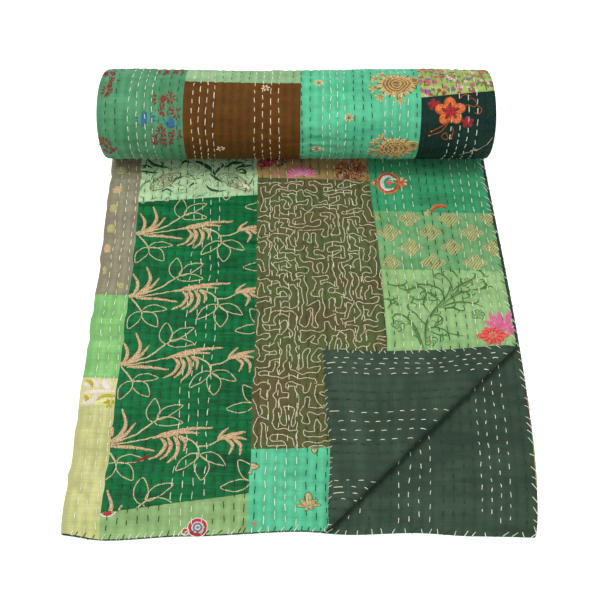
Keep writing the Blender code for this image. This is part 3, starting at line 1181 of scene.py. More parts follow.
def on_roll(x, rise, lift):
    """rise is the way up the roll from its front, and on over the top."""
    turn = FRONT_TURN - rise / ROUND
    return place_roll(x, turn, RIB - roll_relief(roll_share(x, rise), turn * ROUND) - lift)


UPPER = Ground(on_upper, upper_share, False)
FLAP_BACK = Ground(on_flap_back, upper_share, True)
LOWER_BACK = Ground(on_lower_back, lower_share, False)
UNDERSIDE = Ground(on_underside, lower_share, True)
ROLL = Ground(on_roll, roll_share, False)

# Sections, as across and up: a thread, and a flat stitch or print
THREAD_SECTION = np.array(((1, 0), (0, 1), (-1, 0), (0, -1)))
FLAT_SECTION = np.array(((1, -1), (0.8, 0.65), (0, 1), (-0.8, 0.65), (-1, -1)))
SUNK = -0.0003  # how deep the edges of flat strokes reach into the cloth


def unit(vectors):
    return vectors / (np.linalg.norm(vectors, axis=-1, keepdims=True) + 1e-12)


def run_lengths(points):
    steps = np.linalg.norm(np.diff(points, axis=0), axis=1)
    return np.concatenate(([0], np.cumsum(steps)))


def left_of(points):
    way = unit(np.gradient(points, axis=0))
    return np.stack((-way[:, 1], way[:, 0]), axis=1)


def curve(points, step=0.0015):
    """A smooth line through a few points, with a point about every step."""
    points = np.asarray(points, float)
    before, after = 2 * points[:1] - points[1:2], 2 * points[-1:] - points[-2:-1]
    padded = np.concatenate((before, points, after))
    t = np.linspace(0, 1, 9)[:-1, None]
    parts = []
    for a, b, c, d in zip(padded, padded[1:], padded[2:], padded[3:]):
        bend = a - 2.5 * b + 2 * c - d / 2
        parts.append(b + t * (c - a) / 2 + t**2 * bend + t**3 * (1.5 * (b - c) + (d - a) / 2))
    line = np.concatenate((*parts, points[-1:]))
    lengths = run_lengths(line)
    places = np.linspace(0, lengths[-1], max(round(lengths[-1] / step), 3) + 1)
    return np.stack([np.interp(places, lengths, line[:, i]) for i in (0, 1)], axis=1)


class Sewing:
    """Strokes on one ground, joined in one mesh: round threads, or flat stitches and prints.

    Each point of a stroke has a half width, a lift or height, and a way to its left.
    """

    def __init__(self, ground, seed, flat=False):
        self.ground = ground
        self.random = np.random.RandomState(seed)
        self.flat = flat
        self.window = None  # where strokes are cut off, as the sizes of a patch
        self.points, self.widths, self.lifts, self.sides, self.slots = [], [], [], [], []
        self.names = []

    def add(self, points, width, lift, cloth, side=None):
        """A stroke, cut off where it leaves the window."""
        points = np.asarray(points, float)
        n = len(points)
        side = left_of(points) if side is None else np.broadcast_to(side, (n, 2))
        if cloth not in self.names:
            self.names.append(cloth)
        for run in self.runs(points):
            self.points.append(points[run])
            self.widths.append(np.broadcast_to(width, n)[run])
            self.lifts.append(np.broadcast_to(lift, n)[run])
            self.sides.append(side[run])
            self.slots.append(self.names.index(cloth))

    def runs(self, points):
        """The stretches of a line inside the window."""
        if self.window is None:
            return [slice(0, len(points))]
        low, high, near0, near1, far0, far1 = self.window
        x, y = points.T
        way = (self.ground.share(x, y) - low) / (high - low)
        inside = (way > 0) & (way < 1)
        inside &= (y > blend(near0, near1, way)) & (y < blend(far0, far1, way))
        edges = np.flatnonzero(np.diff(np.concatenate(([0], inside.astype(int), [0]))))
        return [slice(a, b) for a, b in zip(edges[::2], edges[1::2]) if b - a > 2]

    def thread_rings(self, points, widths, lifts, sides, step):
        x, y = points.T
        middle = self.ground.place(x, y, lifts)
        along = unit(middle[step[1]] - middle[step[0]])
        left = self.ground.place(*(points + 1e-4 * sides).T, lifts) - middle
        left = unit(left - (left * along).sum(axis=1)[:, None] * along)
        up = np.cross(along, left)
        a, b = THREAD_SECTION.T[:, None, :, None]
        return middle[:, None] + widths[:, None, None] * (a * left[:, None] + b * up[:, None])

    def flat_rings(self, points, widths, lifts, sides):
        across, up = FLAT_SECTION.T
        spread = points[:, None] + sides[:, None] * (widths[:, None] * across)[..., None]
        return self.ground.place(*spread.transpose(2, 0, 1), np.maximum(lifts[:, None] * up, SUNK))

    def piece(self, name):
        counts = np.array([len(p) for p in self.points])
        total = counts.sum()
        last = np.cumsum(counts) - 1
        first = last - counts + 1
        points, widths, lifts, sides = (
            np.concatenate(a) for a in (self.points, self.widths, self.lifts, self.sides)
        )
        if self.flat:
            section, rings = FLAT_SECTION, self.flat_rings(points, widths, lifts, sides)
        else:
            before, after = np.arange(total) - 1, np.arange(total) + 1
            before[first], after[last] = first, last
            section = THREAD_SECTION
            rings = self.thread_rings(points, widths, lifts, sides, (before, after))
        k = len(section)
        index = np.arange(total * k).reshape(total, k)
        ahead = np.roll(index, -1, axis=1)
        inner = np.delete(np.arange(total), last)
        quads = (index[inner], ahead[inner], ahead[inner + 1], index[inner + 1])
        quads = np.stack(quads, axis=-1).reshape(-1, 4)
        ends = np.concatenate((index[first][:, ::-1], index[last]))
        if self.flat and self.ground.mirrored:
            quads, ends = quads[:, ::-1], ends[:, ::-1]

        mesh = bpy.data.meshes.new(name)
        mesh.from_pydata(rings.reshape(-1, 3).tolist(), [], quads.tolist() + ends.tolist())
        for cloth in self.names:
            mesh.materials.append(cloth_material(cloth))
        slots = np.array(self.slots)
        slots = np.concatenate((np.repeat(slots, (counts - 1) * k), slots, slots))
        mesh.polygons.foreach_set("material_index", slots)
        lengths = np.concatenate([run_lengths(p) for p in self.points])
        tones = np.repeat(self.random.uniform(size=len(counts)), counts)
        layout = np.broadcast_arrays(widths[:, None] * section[:, 0], lengths[:, None], tones[:, None])
        write(mesh, "layout", np.stack(layout, axis=-1).reshape(-1, 3))
        mesh.shade_smooth()
        made = bpy.data.objects.new(name, mesh)
        bpy.context.scene.collection.objects.link(made)
        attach(made, "root")


# Running stitches

STITCH_MARGIN = 0.004  # from the ends of a row
SHOWN_BEFORE_CREASE = 0.03  # how far under the upper layer the backing's stitches go on
ROW_BELOW_FRONT = 0.24 * ROUND  # how far down from the roll's front a row starts
THREAD_HOLE = 0.0006  # from a stitch's end to where the thread shows on the other side
STITCH_SPREAD = (0.70, 1.25)  # the least and most of its length that a stitch has
BACK_STITCH_SPREAD = (0.75, 1.35)
STITCH_BOW = 0.0003
STITCH_LEAN = 0.0012
ROW_WANDER = 0.0022
ROW_WANDER_LENGTH = 0.055
STITCH_WAY = np.array((0, 0.14, 0.38, 0.62, 0.86, 1))
STITCH_LIFT = np.array((-0.00055, 0.00022, 0.00045, 0.00045, 0.00022, -0.00055))


def row_stitches(random, end, start=STITCH_MARGIN):
    """Where each stitch of a row starts and ends, and where the thread runs on behind."""
    at = start + random.uniform(0, STITCH_PITCH)
    while at < end:
        length = STITCH * random.uniform(*STITCH_SPREAD)
        yield at, min(at + length, end)
        at += length + BACK_STITCH * random.uniform(*BACK_STITCH_SPREAD)


def add_stitch(sewing, x_at, start, end, cream):
    y = blend(start, end, STITCH_WAY)
    bow = sewing.random.uniform(-STITCH_BOW, STITCH_BOW)
    lean = sewing.random.uniform(-STITCH_LEAN, STITCH_LEAN)
    wander = ROW_WANDER * noise(y / ROW_WANDER_LENGTH, 40 * x_at(0.0) + 0 * y, 17)
    x = x_at(y) + wander + bow * np.sin(math.pi * STITCH_WAY) + lean * (STITCH_WAY - 0.5)
    cloth = "cream_thread" if cream else "dark_thread"
    sewing.add(np.stack((x, y), axis=1), THREAD, STITCH_LIFT, cloth)


def stitch_loose_end():
    face, flap, lower = Sewing(UPPER, 11), Sewing(FLAP_BACK, 12), Sewing(LOWER_BACK, 13)
    under = Sewing(UNDERSIDE, 14)
    for row in range(1, ROWS):
        share = row / ROWS

        def upper_at(y):
            return upper_x(share, y)

        def flap_at(y):
            return upper_x(share, y) + FLAP_CREAM_ROWS.get(row, 0)

        def lower_at(y):
            return lower_x(share, y) + LOWER_CREAM_ROWS.get(row, 0)

        start_y = float(upper_front_edge(upper_at(0.0))) + STITCH_MARGIN
        behind = start_y
        for start, end in row_stitches(face.random, ROLL_Y - STITCH_MARGIN, start_y):
            if past_crease(upper_at(start), start) < CREASE_ARC / 2:
                add_stitch(face, upper_at, start, end, row in CREAM_ROWS)
            turned = past_crease(flap_at(behind), start) > CREASE_ARC * 0.4
            if turned and start - behind > STITCH_MARGIN:
                sizes = behind + THREAD_HOLE, start - THREAD_HOLE
                add_stitch(flap, flap_at, *sizes, row in FLAP_CREAM_ROWS)
            behind = end
        start_y = float(front_edge(lower_at(0.0))) + STITCH_MARGIN
        behind = None
        for start, end in row_stitches(lower.random, ROLL_Y - STITCH_MARGIN, start_y):
            add_stitch(under, lower_at, start, end, row in LOWER_CREAM_ROWS)
            if behind and past_crease(lower_at(start), start) > -SHOWN_BEFORE_CREASE:
                sizes = behind + THREAD_HOLE, start - THREAD_HOLE
                add_stitch(lower, lower_at, *sizes, row in LOWER_CREAM_ROWS)
            behind = end
    face.piece("stitches_face")
    flap.piece("stitches_turned_corner")
    lower.piece("stitches_backing")
    under.piece("stitches_underside")


def stitch_roll():
    sewing = Sewing(ROLL, 15)
    for row in range(1, ROWS):

        def roll_at(rise):
            return roll_x(row / ROWS, FRONT_TURN - rise / ROUND) + ROLL_CREAM_ROWS.get(row, 0)

        for start, end in row_stitches(sewing.random, ROUND - 0.012):
            sizes = start - ROW_BELOW_FRONT, end - ROW_BELOW_FRONT
            add_stitch(sewing, roll_at, *sizes, row in ROLL_CREAM_ROWS)
    sewing.piece("stitches_roll")


# Whip stitches over the free edges

# share of the reach inwards, share of the thickness down, thread radii out of the cloth
WHIP = np.array((
    (1.00, 0.00, -0.6),
    (0.80, 0.00, 0.6),
    (0.40, 0.00, 1.0),
    (0.06, 0.00, 0.9),
    (-0.08, 0.25, 0.0),
    (-0.11, 0.50, 0.0),
    (-0.08, 0.75, 0.0),
    (0.06, 1.00, -0.9),
    (0.50, 1.00, -0.8),
    (0.80, 1.00, 0.8),
))
WHIP_DEPTHS = (0.75, 1.2)  # of the reach
WHIP_STEPS = (0.65, 1.4)  # of the pitch


def whip_edge(sewing, line, pitch, reach, lean, thick, dark):
    """Stitches over an edge whose cloth lies on its left; dark is the share of dark ones."""
    length, point, way = edge_line(line)
    at = pitch / 2
    while at < length:
        base, along = point(at), way(at)
        across = np.array((-along[1], along[0]))
        tilt = sewing.random.uniform(*lean) * reach
        deep = reach * sewing.random.uniform(*WHIP_DEPTHS)
        points = base + WHIP[:, :1] * deep * across + (WHIP[:, :1] - 0.5) * tilt * along
        lifts = WHIP[:, 2] * THREAD - WHIP[:, 1] * 2 * HALF_QUILT
        cloth = "dark_thread" if sewing.random.uniform() < dark else "cream_thread"
        sewing.add(points, THREAD * thick, lifts, cloth, side=along)
        at += pitch * sewing.random.uniform(*WHIP_STEPS)


def edge_line(points):
    """Length, point and way along an edge given by close points."""
    points = np.asarray(points, float)
    lengths = run_lengths(points)

    def point(at):
        return np.array([np.interp(at, lengths, points[:, i]) for i in (0, 1)])

    def way(at):
        return unit(point(at + 0.002) - point(at - 0.002))

    return lengths[-1], point, way


RIM_LIFT = -0.0012
RIM_HALF_WIDTH = 0.0016
RIM_PATCHES = (
    # from, to: where the patchwork shows round the lower layer's free edge
    (0.070, 0.118, "lime"),
    (0.118, 0.150, "leaf_green"),
    (0.152, 0.172, "rose_print"),
    (0.188, 0.212, "orange_floss"),
)


def whip_loose_end():
    face, flap, lower = Sewing(UPPER, 21), Sewing(FLAP_BACK, 22), Sewing(LOWER_BACK, 23)
    x = np.linspace(float(fold_start(0.0)) + 0.006, float(upper_right_edge(0.0)) - 0.001, 160)
    y = np.linspace(float(front_edge(0.3165)) + 0.002, ROLL_Y - 0.002, 160)
    front = np.stack((x, upper_front_edge(x)), axis=1)
    side = np.stack((upper_right_edge(y), y), axis=1)
    turned_front, turned_side = (past_crease(*line.T) > CREASE_ARC / 2 for line in (front, side))
    flat_front = front[~turned_front]
    left = flat_front[:, 0] < float(upper_x(SEAM_1, 0.0))
    low_front = np.stack((x, front_edge(x)), axis=1)
    low_side = np.stack((right_edge(y), y), axis=1)
    bare = low_side[:, 1] < CREASE_SIDE[1]
    for row in (
        # where, edge, pitch, reach inwards, least and most lean, thickness, share of dark ones
        (face, flat_front[left], 0.0095, 0.0060, (0.1, 0.9), 1.0, 0.7),
        (face, flat_front[~left], 0.0088, 0.0060, (0.0, 1.0), 1.0, 0.4),
        (face, side[~turned_side], 0.0150, 0.0062, (0.5, 1.6), 0.9, 0.25),
        (flap, front[turned_front], 0.0088, 0.0036, (0.0, 1.4), 0.75, 0.4),
        (flap, side[turned_side], 0.0120, 0.0048, (-0.6, 1.6), 0.85, 0.1),
        (lower, low_front, 0.0122, 0.0060, (-0.4, 1.5), 0.95, 0.1),
        (lower, low_side[bare], 0.0160, 0.0060, (0.5, 2.0), 0.95, 0.0),
        (lower, low_side[~bare], 0.0260, 0.0050, (0.5, 2.0), 0.95, 0.4),
    ):
        whip_edge(*row)
    for low, high, cloth in RIM_PATCHES:
        y = np.linspace(low, high, 12)
        rim = np.stack((right_edge(y) - 0.0006, y), axis=1)
        lower.add(rim, RIM_HALF_WIDTH, RIM_LIFT, cloth)
    face.piece("whip_stitches_upper")
    flap.piece("whip_stitches_turned_corner")
    lower.piece("whip_stitches_lower")


def whip_roll():
    """The free edges of the wound quilt, at the roll's right end."""
    sewing = Sewing(ROLL, 24)
    rise = np.linspace((0.76 - TURNS) * ROUND, 0.74 * ROUND, 700)
    edge = np.stack((roll_end(1, FRONT_TURN - rise / ROUND) - 0.0004, rise), axis=1)
    whip_edge(sewing, edge, 0.0125, 0.0046, (0.2, 1.4), 0.85, 1.0)
    sewing.piece("whip_stitches_roll")


# Drawing motifs: their places, sizes and heights are in millimetres

MM = 0.001
CHAIN_STEP = 0.0014  # along a line of chain stitches
STROKE_STEP = 0.0022
BEAD = 0.08  # how much wider every other step of a chain is


def swelling(kind, t):
    """The share of its full width that a stroke has along its way."""
    if kind == "brush":
        return 0.12 + 0.88 * np.sin(math.pi * t) ** 0.8
    if kind == "palm":
        return (0.5 + 0.5 * ease(t / 0.25)) * (1 - 0.62 * t**2)
    if kind == "petal":
        return 0.1 + 0.9 * np.sin(math.pi * t**1.3) ** 0.7
    if kind == "drop":
        return np.sqrt(np.clip(1 - (2 * t - 1) ** 2, 0.01, 1))
    return np.sqrt(np.clip(np.minimum(t, 1 - t) / 0.02, 0.1, 1))


def leaf_outline(base, tip, width, bend=0.0):
    """Round one leaf, from its base to its tip and back."""
    base, tip = np.array(base, float), np.array(tip, float)
    way = tip - base
    side = np.array((-way[1], way[0])) / np.linalg.norm(way)
    t = np.array((0, 0.12, 0.32, 0.56, 0.82, 1.0))
    out = np.sin(math.pi * t**0.85) ** 0.75 * width / 2
    middle = base + t[:, None] * way + (bend * np.sin(math.pi * t))[:, None] * side
    there, back = middle + out[:, None] * side, middle - out[:, None] * side
    return [*there, *back[-2::-1]]


def full(count, first=0.0):
    """Turns all the way round, in degrees."""
    return [first + 360 * i / count for i in range(count)]


def beside(at, turn, across, up=None):
    """A place on a ring, or on an oval, round another place."""
    angle = math.radians(turn)
    return at[0] + across * math.cos(angle), at[1] + (up or across) * math.sin(angle)


def window_of(cloth):
    """Where a patch of the upper layer lies."""
    return next(row[:6] for row in UPPER_PATCHES if row[-1] == cloth)


def rolled_window(cloth):
    """Where a patch of the roll lies, as the way up round it from its front."""
    low, high, near0, near1, far0, far1, _ = next(row for row in ROLL_PATCHES if row[-1] == cloth)
    return (low, high, *(FRONT_TURN * ROUND - np.array((far0, far1, near0, near1))))


class Motifs(Sewing):
    """Flat strokes of embroidery or print; turns are in degrees."""

    def __init__(self, ground, seed, window=None):
        super().__init__(ground, seed, flat=True)
        self.window = window

    def draw(self, kind, width, points, cloth, height=0.4, at=(0, 0), turn=0.0, size=1.0):
        """A smooth stroke; a knotted one is a line of chain stitches, seen as beads of thread."""
        c, s = math.cos(math.radians(turn)), math.sin(math.radians(turn))
        x, y = np.asarray(points, float).T * MM * size
        line = np.stack((at[0] * MM + c * x - s * y, at[1] * MM + s * x + c * y), axis=1)
        knotted = kind in ("chain", "palm")
        line = curve(line, CHAIN_STEP if knotted else STROKE_STEP)
        widths = width * MM * size * swelling(kind, np.linspace(0, 1, len(line)))
        if knotted:
            widths = widths * (1 + BEAD * (-1.0) ** np.arange(len(line)))
        self.add(line, widths, height * MM, cloth)

    def rays(self, at, turns, reach, width, cloth, start=0.15, height=0.6, kind="petal"):
        """Petals, leaves or stitches that point away from a middle."""
        for turn in np.atleast_1d(turns):
            points = ((start * reach, 0), (0.6 * reach, 0.04 * reach), (reach, 0))
            self.draw(kind, width, points, cloth, height, at, turn)

    def dot(self, at, radius, cloth, height=0.5):
        self.draw("drop", radius, ((-radius, 0), (radius, 0)), cloth, height, at)

    def rings(self, at, *rings):
        """Rings round one place, each given by its radius, half width and cloth."""
        turns = np.linspace(0, math.tau, 14)
        for radius, width, cloth in rings:
            points = np.stack((np.cos(turns), np.sin(turns)), axis=1) * radius
            self.draw("line", width, points, cloth, 0.4, at)

    def blossom(self, at, reach, petals, petal, middle):
        """Round petals, darker ribs on them and a knot of thread in the middle."""
        width = reach * math.pi / petals * 0.62
        turns = full(petals, 20)
        self.rays(at, turns, reach, width, petal, 0.1)
        self.rays(at, turns, reach * 0.55, width * 0.3, middle, 0.1, 1.02)
        self.dot(at, reach * 0.16, middle, 1.14)

    def bud(self, at, size, turn=0.0):
        """A gold bud that points up: pointed leaves over a darker ground, with dark veins."""
        for angle, reach, width in BUD_LEAVES:
            angle, reach, width = angle + turn, reach * size, width * size
            self.rays(at, angle, reach * 1.06, width * 1.3, "print_leaf", 0.0, 0.4)
            self.rays(at, angle, reach, width, "zari", 0.05, 0.9)
            self.rays(at, angle, reach * 0.8, 0.4 * size, "old_gold", 0.3, 1.4, "line")


BUD_LEAVES = (
    # way, reach, half width
    (0, 17, 2.6),
    (180, 18, 2.6),
    (36, 15, 3.6),
    (144, 15, 3.6),
    (-52, 9, 3.2),
    (232, 9, 3.2),
    (90, 20, 5.6),
)


# The embroidered silk: sprays that grow from the left seam, one above another

SPRAY_ROOTS = (
    # from the seam, along, in metres
    (-0.024, -0.120),
    (-0.020, 0.003),
    (-0.013, 0.130),
    (-0.004, 0.259),
    (-0.001, 0.382),
    (-0.001, 0.505),
    (-0.002, 0.628),
)
SPRAY = (
    # kind, half width, then the places it passes
    ("palm", 2.3, (8, 4), (13, 16), (12, 30), (4, 44)),
    ("palm", 2.5, (10, 4), (24, 14), (32, 34), (24, 58)),
    ("palm", 2.2, (16, 5), (34, 18), (46, 36)),
    ("palm", 2.6, (0, 2), (18, 6), (30, 8)),
    ("chain", 1.3, (22, 6), (46, 16), (60, 27), (71, 37)),
    ("chain", 1.0, (10, 0), (45, 6), (72, 13), (84, 15)),
    ("palm", 2.2, (14, -2), (46, -3), (78, -8)),
    ("palm", 2.6, (72, 12), (96, 20), (126, 27), (158, 29)),
    ("palm", 2.2, (88, 14), (112, 21), (139, 20)),
    ("palm", 2.2, (84, 13), (92, 2), (85, -13), (70, -22)),
    ("palm", 2.3, (94, 14), (100, 1), (96, -12), (86, -22)),
    ("palm", 2.4, (103, 15), (110, 2), (108, -14), (97, -27)),
    ("palm", 2.1, (110, 15), (120, 6), (119, -9)),
    ("chain", 1.2, (110, 16), (126, 10), (138, 0), (141, -14)),
    ("chain", 1.1, (139, -1), (156, 2), (170, 11)),
    ("palm", 2.0, (166, 8), (172, 20), (181, 29)),
    ("palm", 2.8, (168, 10), (184, 17), (206, 23)),
    ("palm", 2.2, (176, 12), (192, 14), (208, 11)),
    ("palm", 2.1, (178, 11), (188, 2), (183, -13)),
    ("palm", 2.1, (188, 12), (199, 2), (199, -14)),
    ("chain", 1.3, (6, -2), (16, -14), (25, -27)),
)
SPRAY_LEAVES = (
    # base, tip, width, bend
    ((71, 37), (70, 76), 20, 1),
    ((76, 42), (112, 66), 15, 3),
    ((73, 37), (114, 37), 15, 2),
    ((25, -25), (63, -22), 13, 3),
    ((24, -27), (7, -57), 17, -2),
    ((26, -28), (51, -53), 19, 2),
    ((141, -12), (110, -38), 15, -2),
    ((142, -15), (147, -52), 21, 2),
    ((143, -13), (179, -29), 15, 3),
    ((216, 68), (176, 60), 16, 2),
    ((217, 70), (199, 100), 19, -2),
)
SPRAY_FOOT = ((-1, 0), (8, 3), (22, 7))
SPRAY_CLOTHS = {"palm": "gold_embroidery", "chain": "gold_chain"}
SPRAY_WIDTHS = {"palm": 1.5, "chain": 1.1}  # times the half widths of the table

# A stem with two leaves at the silk's lower right corner
SHOOT = (12, 54)
SHOOT_STEMS = (
    (1.3, (-46, 2), (-20, 8), (6, 10)),
    (1.3, (-4, 9), (-6, 20), (-10, 26)),
    (1.2, (0, 9), (8, 22)),
)
SHOOT_LEAVES = (((-10, 24), (-22, 62), 24), ((-6, 14), (10, 40), 14))


def embroider_silk():
    sew = Motifs(UPPER, 31, window_of("bottle_silk"))
    for off, along in SPRAY_ROOTS:
        root = ((float(upper_x(SEAM_1, along)) + off) / MM, along / MM)
        turn = math.degrees(sew.random.uniform(-0.02, 0.02))
        size = sew.random.uniform(0.98, 1.02)
        for kind, width, *points in SPRAY:
            width *= SPRAY_WIDTHS[kind]
            sew.draw(kind, width, points, SPRAY_CLOTHS[kind], 1.0, root, turn, size)
        for leaf in SPRAY_LEAVES:
            sew.draw("chain", 0.85, leaf_outline(*leaf), "gold_chain", 0.7, root, turn, size)
        sew.draw("palm", 4.2, SPRAY_FOOT, "gold_embroidery", 0.9, root, turn, size)
    for width, *points in SHOOT_STEMS:
        sew.draw("chain", width, points, "gold_embroidery", 1.0, SHOOT)
    for leaf in SHOOT_LEAVES:
        sew.draw("chain", 0.85, leaf_outline(*leaf), "gold_chain", 0.7, SHOOT)
    for place in ((-222, 107), (-217, 110), (-212, 114)):
        sew.rays(place, 200, 7, 2.2, "crimson_floss", -0.4, 1.1)
    sew.piece("embroidery_silk")


# The olive patch: one couched thread that winds all over it

WINDING_STEP = 0.0084
WINDING_JITTER = 0.36  # of a step
WINDING_SWAY = 0.0046
WINDING_SWAY_LENGTH = 0.013
WINDING_MARGIN = 0.004  # past the patch's edges
COUCHED_RUN = (16, 68)  # points in one length of thread
COUCHED_RADIUS = 0.00072
COUCHED_LIFT = 0.00045
SIDES = (
    # two corners of a square, and the way out of it between them
    ((0, 0), (1, 0), (0, -1)),
    ((1, 0), (1, 1), (1, 0)),
    ((1, 1), (0, 1), (0, 1)),
    ((0, 1), (0, 0), (-1, 0)),
)


def winding_line(columns, rows, random):
    """A closed line through every square of a grid, round the branches of a random tree."""
    branches = {(0, 0): set()}
    ends = [(0, 0)]
    while ends:
        cell = ends[-1] if random.uniform() < 0.45 else ends[random.randint(len(ends))]
        ways = [(1, 0), (0, 1), (-1, 0), (0, -1)]
        random.shuffle(ways)
        for way in map(tuple, ways):
            near = (cell[0] + way[0], cell[1] + way[1])
            if near not in branches and 0 <= near[0] < columns and 0 <= near[1] < rows:
                branches[cell].add(way)
                branches[near] = {(-way[0], -way[1])}
                ends.append(near)
                break
        else:
            ends.remove(cell)
    ahead = {}
    for (i, j), open_ways in branches.items():
        for first, second, way in SIDES:
            start = (2 * i + first[0], 2 * j + first[1])
            along_side = (2 * i + second[0], 2 * j + second[1])
            across_side = (start[0] + way[0], start[1] + way[1])
            ahead[start] = across_side if way in open_ways else along_side
    line, here = [], (0, 0)
    while not line or here != line[0]:
        line.append(here)
        here = ahead[here]
    return np.array(line, float)


def couch_olive():
    sewing = Sewing(UPPER, 32)
    sewing.window = window_of("olive")
    low, high, near0, _, _, far1 = sewing.window
    columns = round((high - low) * SPAN / WINDING_STEP / 2) + 1
    rows = round((far1 - near0) / WINDING_STEP / 2) + 1
    line = winding_line(columns, rows, sewing.random)
    line += sewing.random.uniform(-WINDING_JITTER, WINDING_JITTER, line.shape)
    ahead = np.roll(line, -1, axis=0)
    line = np.stack((0.75 * line + 0.25 * ahead, 0.25 * line + 0.75 * ahead), axis=1)
    line = line.reshape(-1, 2)  # with its corners cut, so that its loops are round
    corner = np.array((float(upper_x(low, near0)), near0)) - WINDING_MARGIN
    line = corner + line * WINDING_STEP
    x, y = line.T / WINDING_SWAY_LENGTH
    line += WINDING_SWAY * np.stack((noise(x, y, 5), noise(x, y, 6)), axis=1)
    at = 0
    while at < len(line) - 3:
        run = line[at : at + sewing.random.randint(*COUCHED_RUN)]
        sewing.add(curve(run, 0.0018), COUCHED_RADIUS, COUCHED_LIFT, "couched_thread")
        at += len(run) - 1 + sewing.random.randint(3)
    sewing.piece("couching_olive")


# The brocade: rows of lobed diamonds, each hatched with slanting gold threads

DIAMOND_QUARTER = ((0, 16.5), (3.5, 15.8), (6.5, 12.5), (8, 8.5), (11, 6), (16, 3.5), (20.5, 0.4))
DIAMOND_PITCH = (66.5, 30.0)
DIAMOND_FIRST = (144.0, 448.0)
HATCH_PITCH = 4.9
HATCH_WAY = (0.57, 0.82)
HATCH_REACH = 40


def weave_brocade():
    sew = Motifs(UPPER, 33, window_of("brocade"))
    across, up = np.array(DIAMOND_QUARTER).T
    outline = [
        *DIAMOND_QUARTER,
        *((a, -b) for a, b in DIAMOND_QUARTER[::-1]),
        *((-a, -b) for a, b in DIAMOND_QUARTER[1:]),
        *((-a, b) for a, b in DIAMOND_QUARTER[-2::-1]),
    ]
    for row in range(-1, 5):
        for column in range(-1, 4):
            shift = DIAMOND_PITCH[0] / 2 * (row % 2)
            x = DIAMOND_FIRST[0] + column * DIAMOND_PITCH[0] + shift
            y = DIAMOND_FIRST[1] + row * DIAMOND_PITCH[1]
            size = sew.random.uniform(0.92, 1.03)
            sew.draw("line", 0.65, outline, "zari", 0.6, (x, y), 0, size)
            for offset in np.arange(-HATCH_REACH, HATCH_REACH + 0.1, HATCH_PITCH):
                t = np.arange(-HATCH_REACH, HATCH_REACH, 0.8)
                way = np.stack((offset + t * HATCH_WAY[0], t * HATCH_WAY[1]), axis=1)
                inside = np.abs(way[:, 1]) < np.interp(np.abs(way[:, 0]), across, up, right=-1)
                kept = way[inside]
                if len(kept) > 2:
                    sew.draw("line", 1.00, kept[[0, -1]], "bright_gold", 0.6, (x, y), 0, size)
    sew.piece("brocade_diamonds")


# The scroll print

SCROLLS = (
    # half width, then the places it passes on the quilt
    (1.3, (186, 286), (176, 324), (163, 344), (150, 351), (141, 345), (145, 338), (151, 341)),
    (1.2, (188, 286), (191, 330), (205, 357), (217, 372), (229, 388), (235, 408)),
    (1.0, (184, 286), (171, 328), (160, 340)),
    (1.1, (212, 362), (238, 372), (262, 372), (282, 364)),
    (1.0, (218, 362), (236, 362), (246, 354)),
    (1.3, (224, 383), (217, 398), (203, 405), (180, 408)),
    (1.1, (217, 372), (206, 388), (191, 393)),
    (1.2, (168, 385), (171, 396), (186, 402), (199, 391), (214, 377)),
    (0.9, (168, 384), (180, 378), (192, 380), (190, 388)),
    (1.0, (228, 387), (236, 404), (230, 418), (219, 428), (212, 421), (220, 415)),
    (1.1, (233, 390), (248, 404), (266, 414), (280, 422)),
    (0.9, (232, 384), (246, 393), (262, 392)),
    (1.2, (248, 418), (242, 430), (232, 438)),
    (1.0, (272, 436), (284, 431), (289, 422)),
    (1.0, (266, 396), (279, 398), (291, 401), (289, 411), (281, 410)),
    (1.0, (186, 317), (200, 327), (215, 324), (229, 315), (247, 312)),
    (0.9, (195, 322), (207, 314), (222, 312)),
    (1.0, (196, 345), (208, 350), (217, 343), (209, 336), (200, 340)),
    (1.0, (212, 362), (240, 386), (256, 392), (262, 384), (254, 380), (250, 386)),
    (1.0, (191, 330), (178, 350), (166, 362), (170, 372), (180, 368), (176, 361)),
    (0.9, (200, 352), (190, 368), (194, 378), (204, 374), (200, 367)),
    (1.0, (136, 408), (150, 404), (168, 408)),
    (0.9, (150, 404), (160, 397), (170, 397)),
    (1.1, (126, 381), (138, 377), (150, 379)),
    (1.0, (134, 360), (142, 371), (152, 366)),
    (0.8, (292, 436), (304, 438), (318, 436)),
)
SCROLL_FLOWERS = (
    # place, then whether it has a coral middle
    ((273, 350), False),
    ((262, 411), True),
    ((150, 330), False),
    ((196, 303), True),
)
SCROLL_SHADOW = (1.9, -1.7)


def print_scrolls():
    sew = Motifs(UPPER, 34, window_of("scroll_green"))
    for width, *points in SCROLLS:
        sew.draw("brush", 1.45 * width, points, "print_leaf", 0.42)
        sew.draw("brush", 0.7 * width, np.array(points, float) + SCROLL_SHADOW, "print_sage", 0.36)
        line = curve(points, 3)
        for share, side in ((0.28, 1), (0.5, -1), (0.72, 1)):
            at = round(share * (len(line) - 1))
            way = line[min(at + 1, len(line) - 1)] - line[at - 1]
            turn = math.degrees(math.atan2(way[1], way[0]))
            leaf = ((0, 0), (5, 0.4 * side), (10, 2.8 * side), (11.4, 6.4 * side), (8.6, 8.4 * side))
            size = sew.random.uniform(0.75, 1.15)
            sew.draw("brush", 1.25, leaf, "print_leaf", 0.4, line[at], turn, size)
    for number, (place, coral) in enumerate(SCROLL_FLOWERS):
        for turn in full(7, math.degrees(number)):
            curl = ((1, 0), (4, 3.4), (8, 3), (10, -1), (7, -3.4))
            size = sew.random.uniform(0.7, 1.15)
            sew.draw("brush", 0.95, curl, "print_leaf", 0.42, place, turn, size)
        if coral:
            sew.draw("drop", 2.2, ((-2.5, 0), (2.5, 0)), "print_coral", 0.4, place)
    sew.piece("print_scrolls")


# Small flowers and ornaments

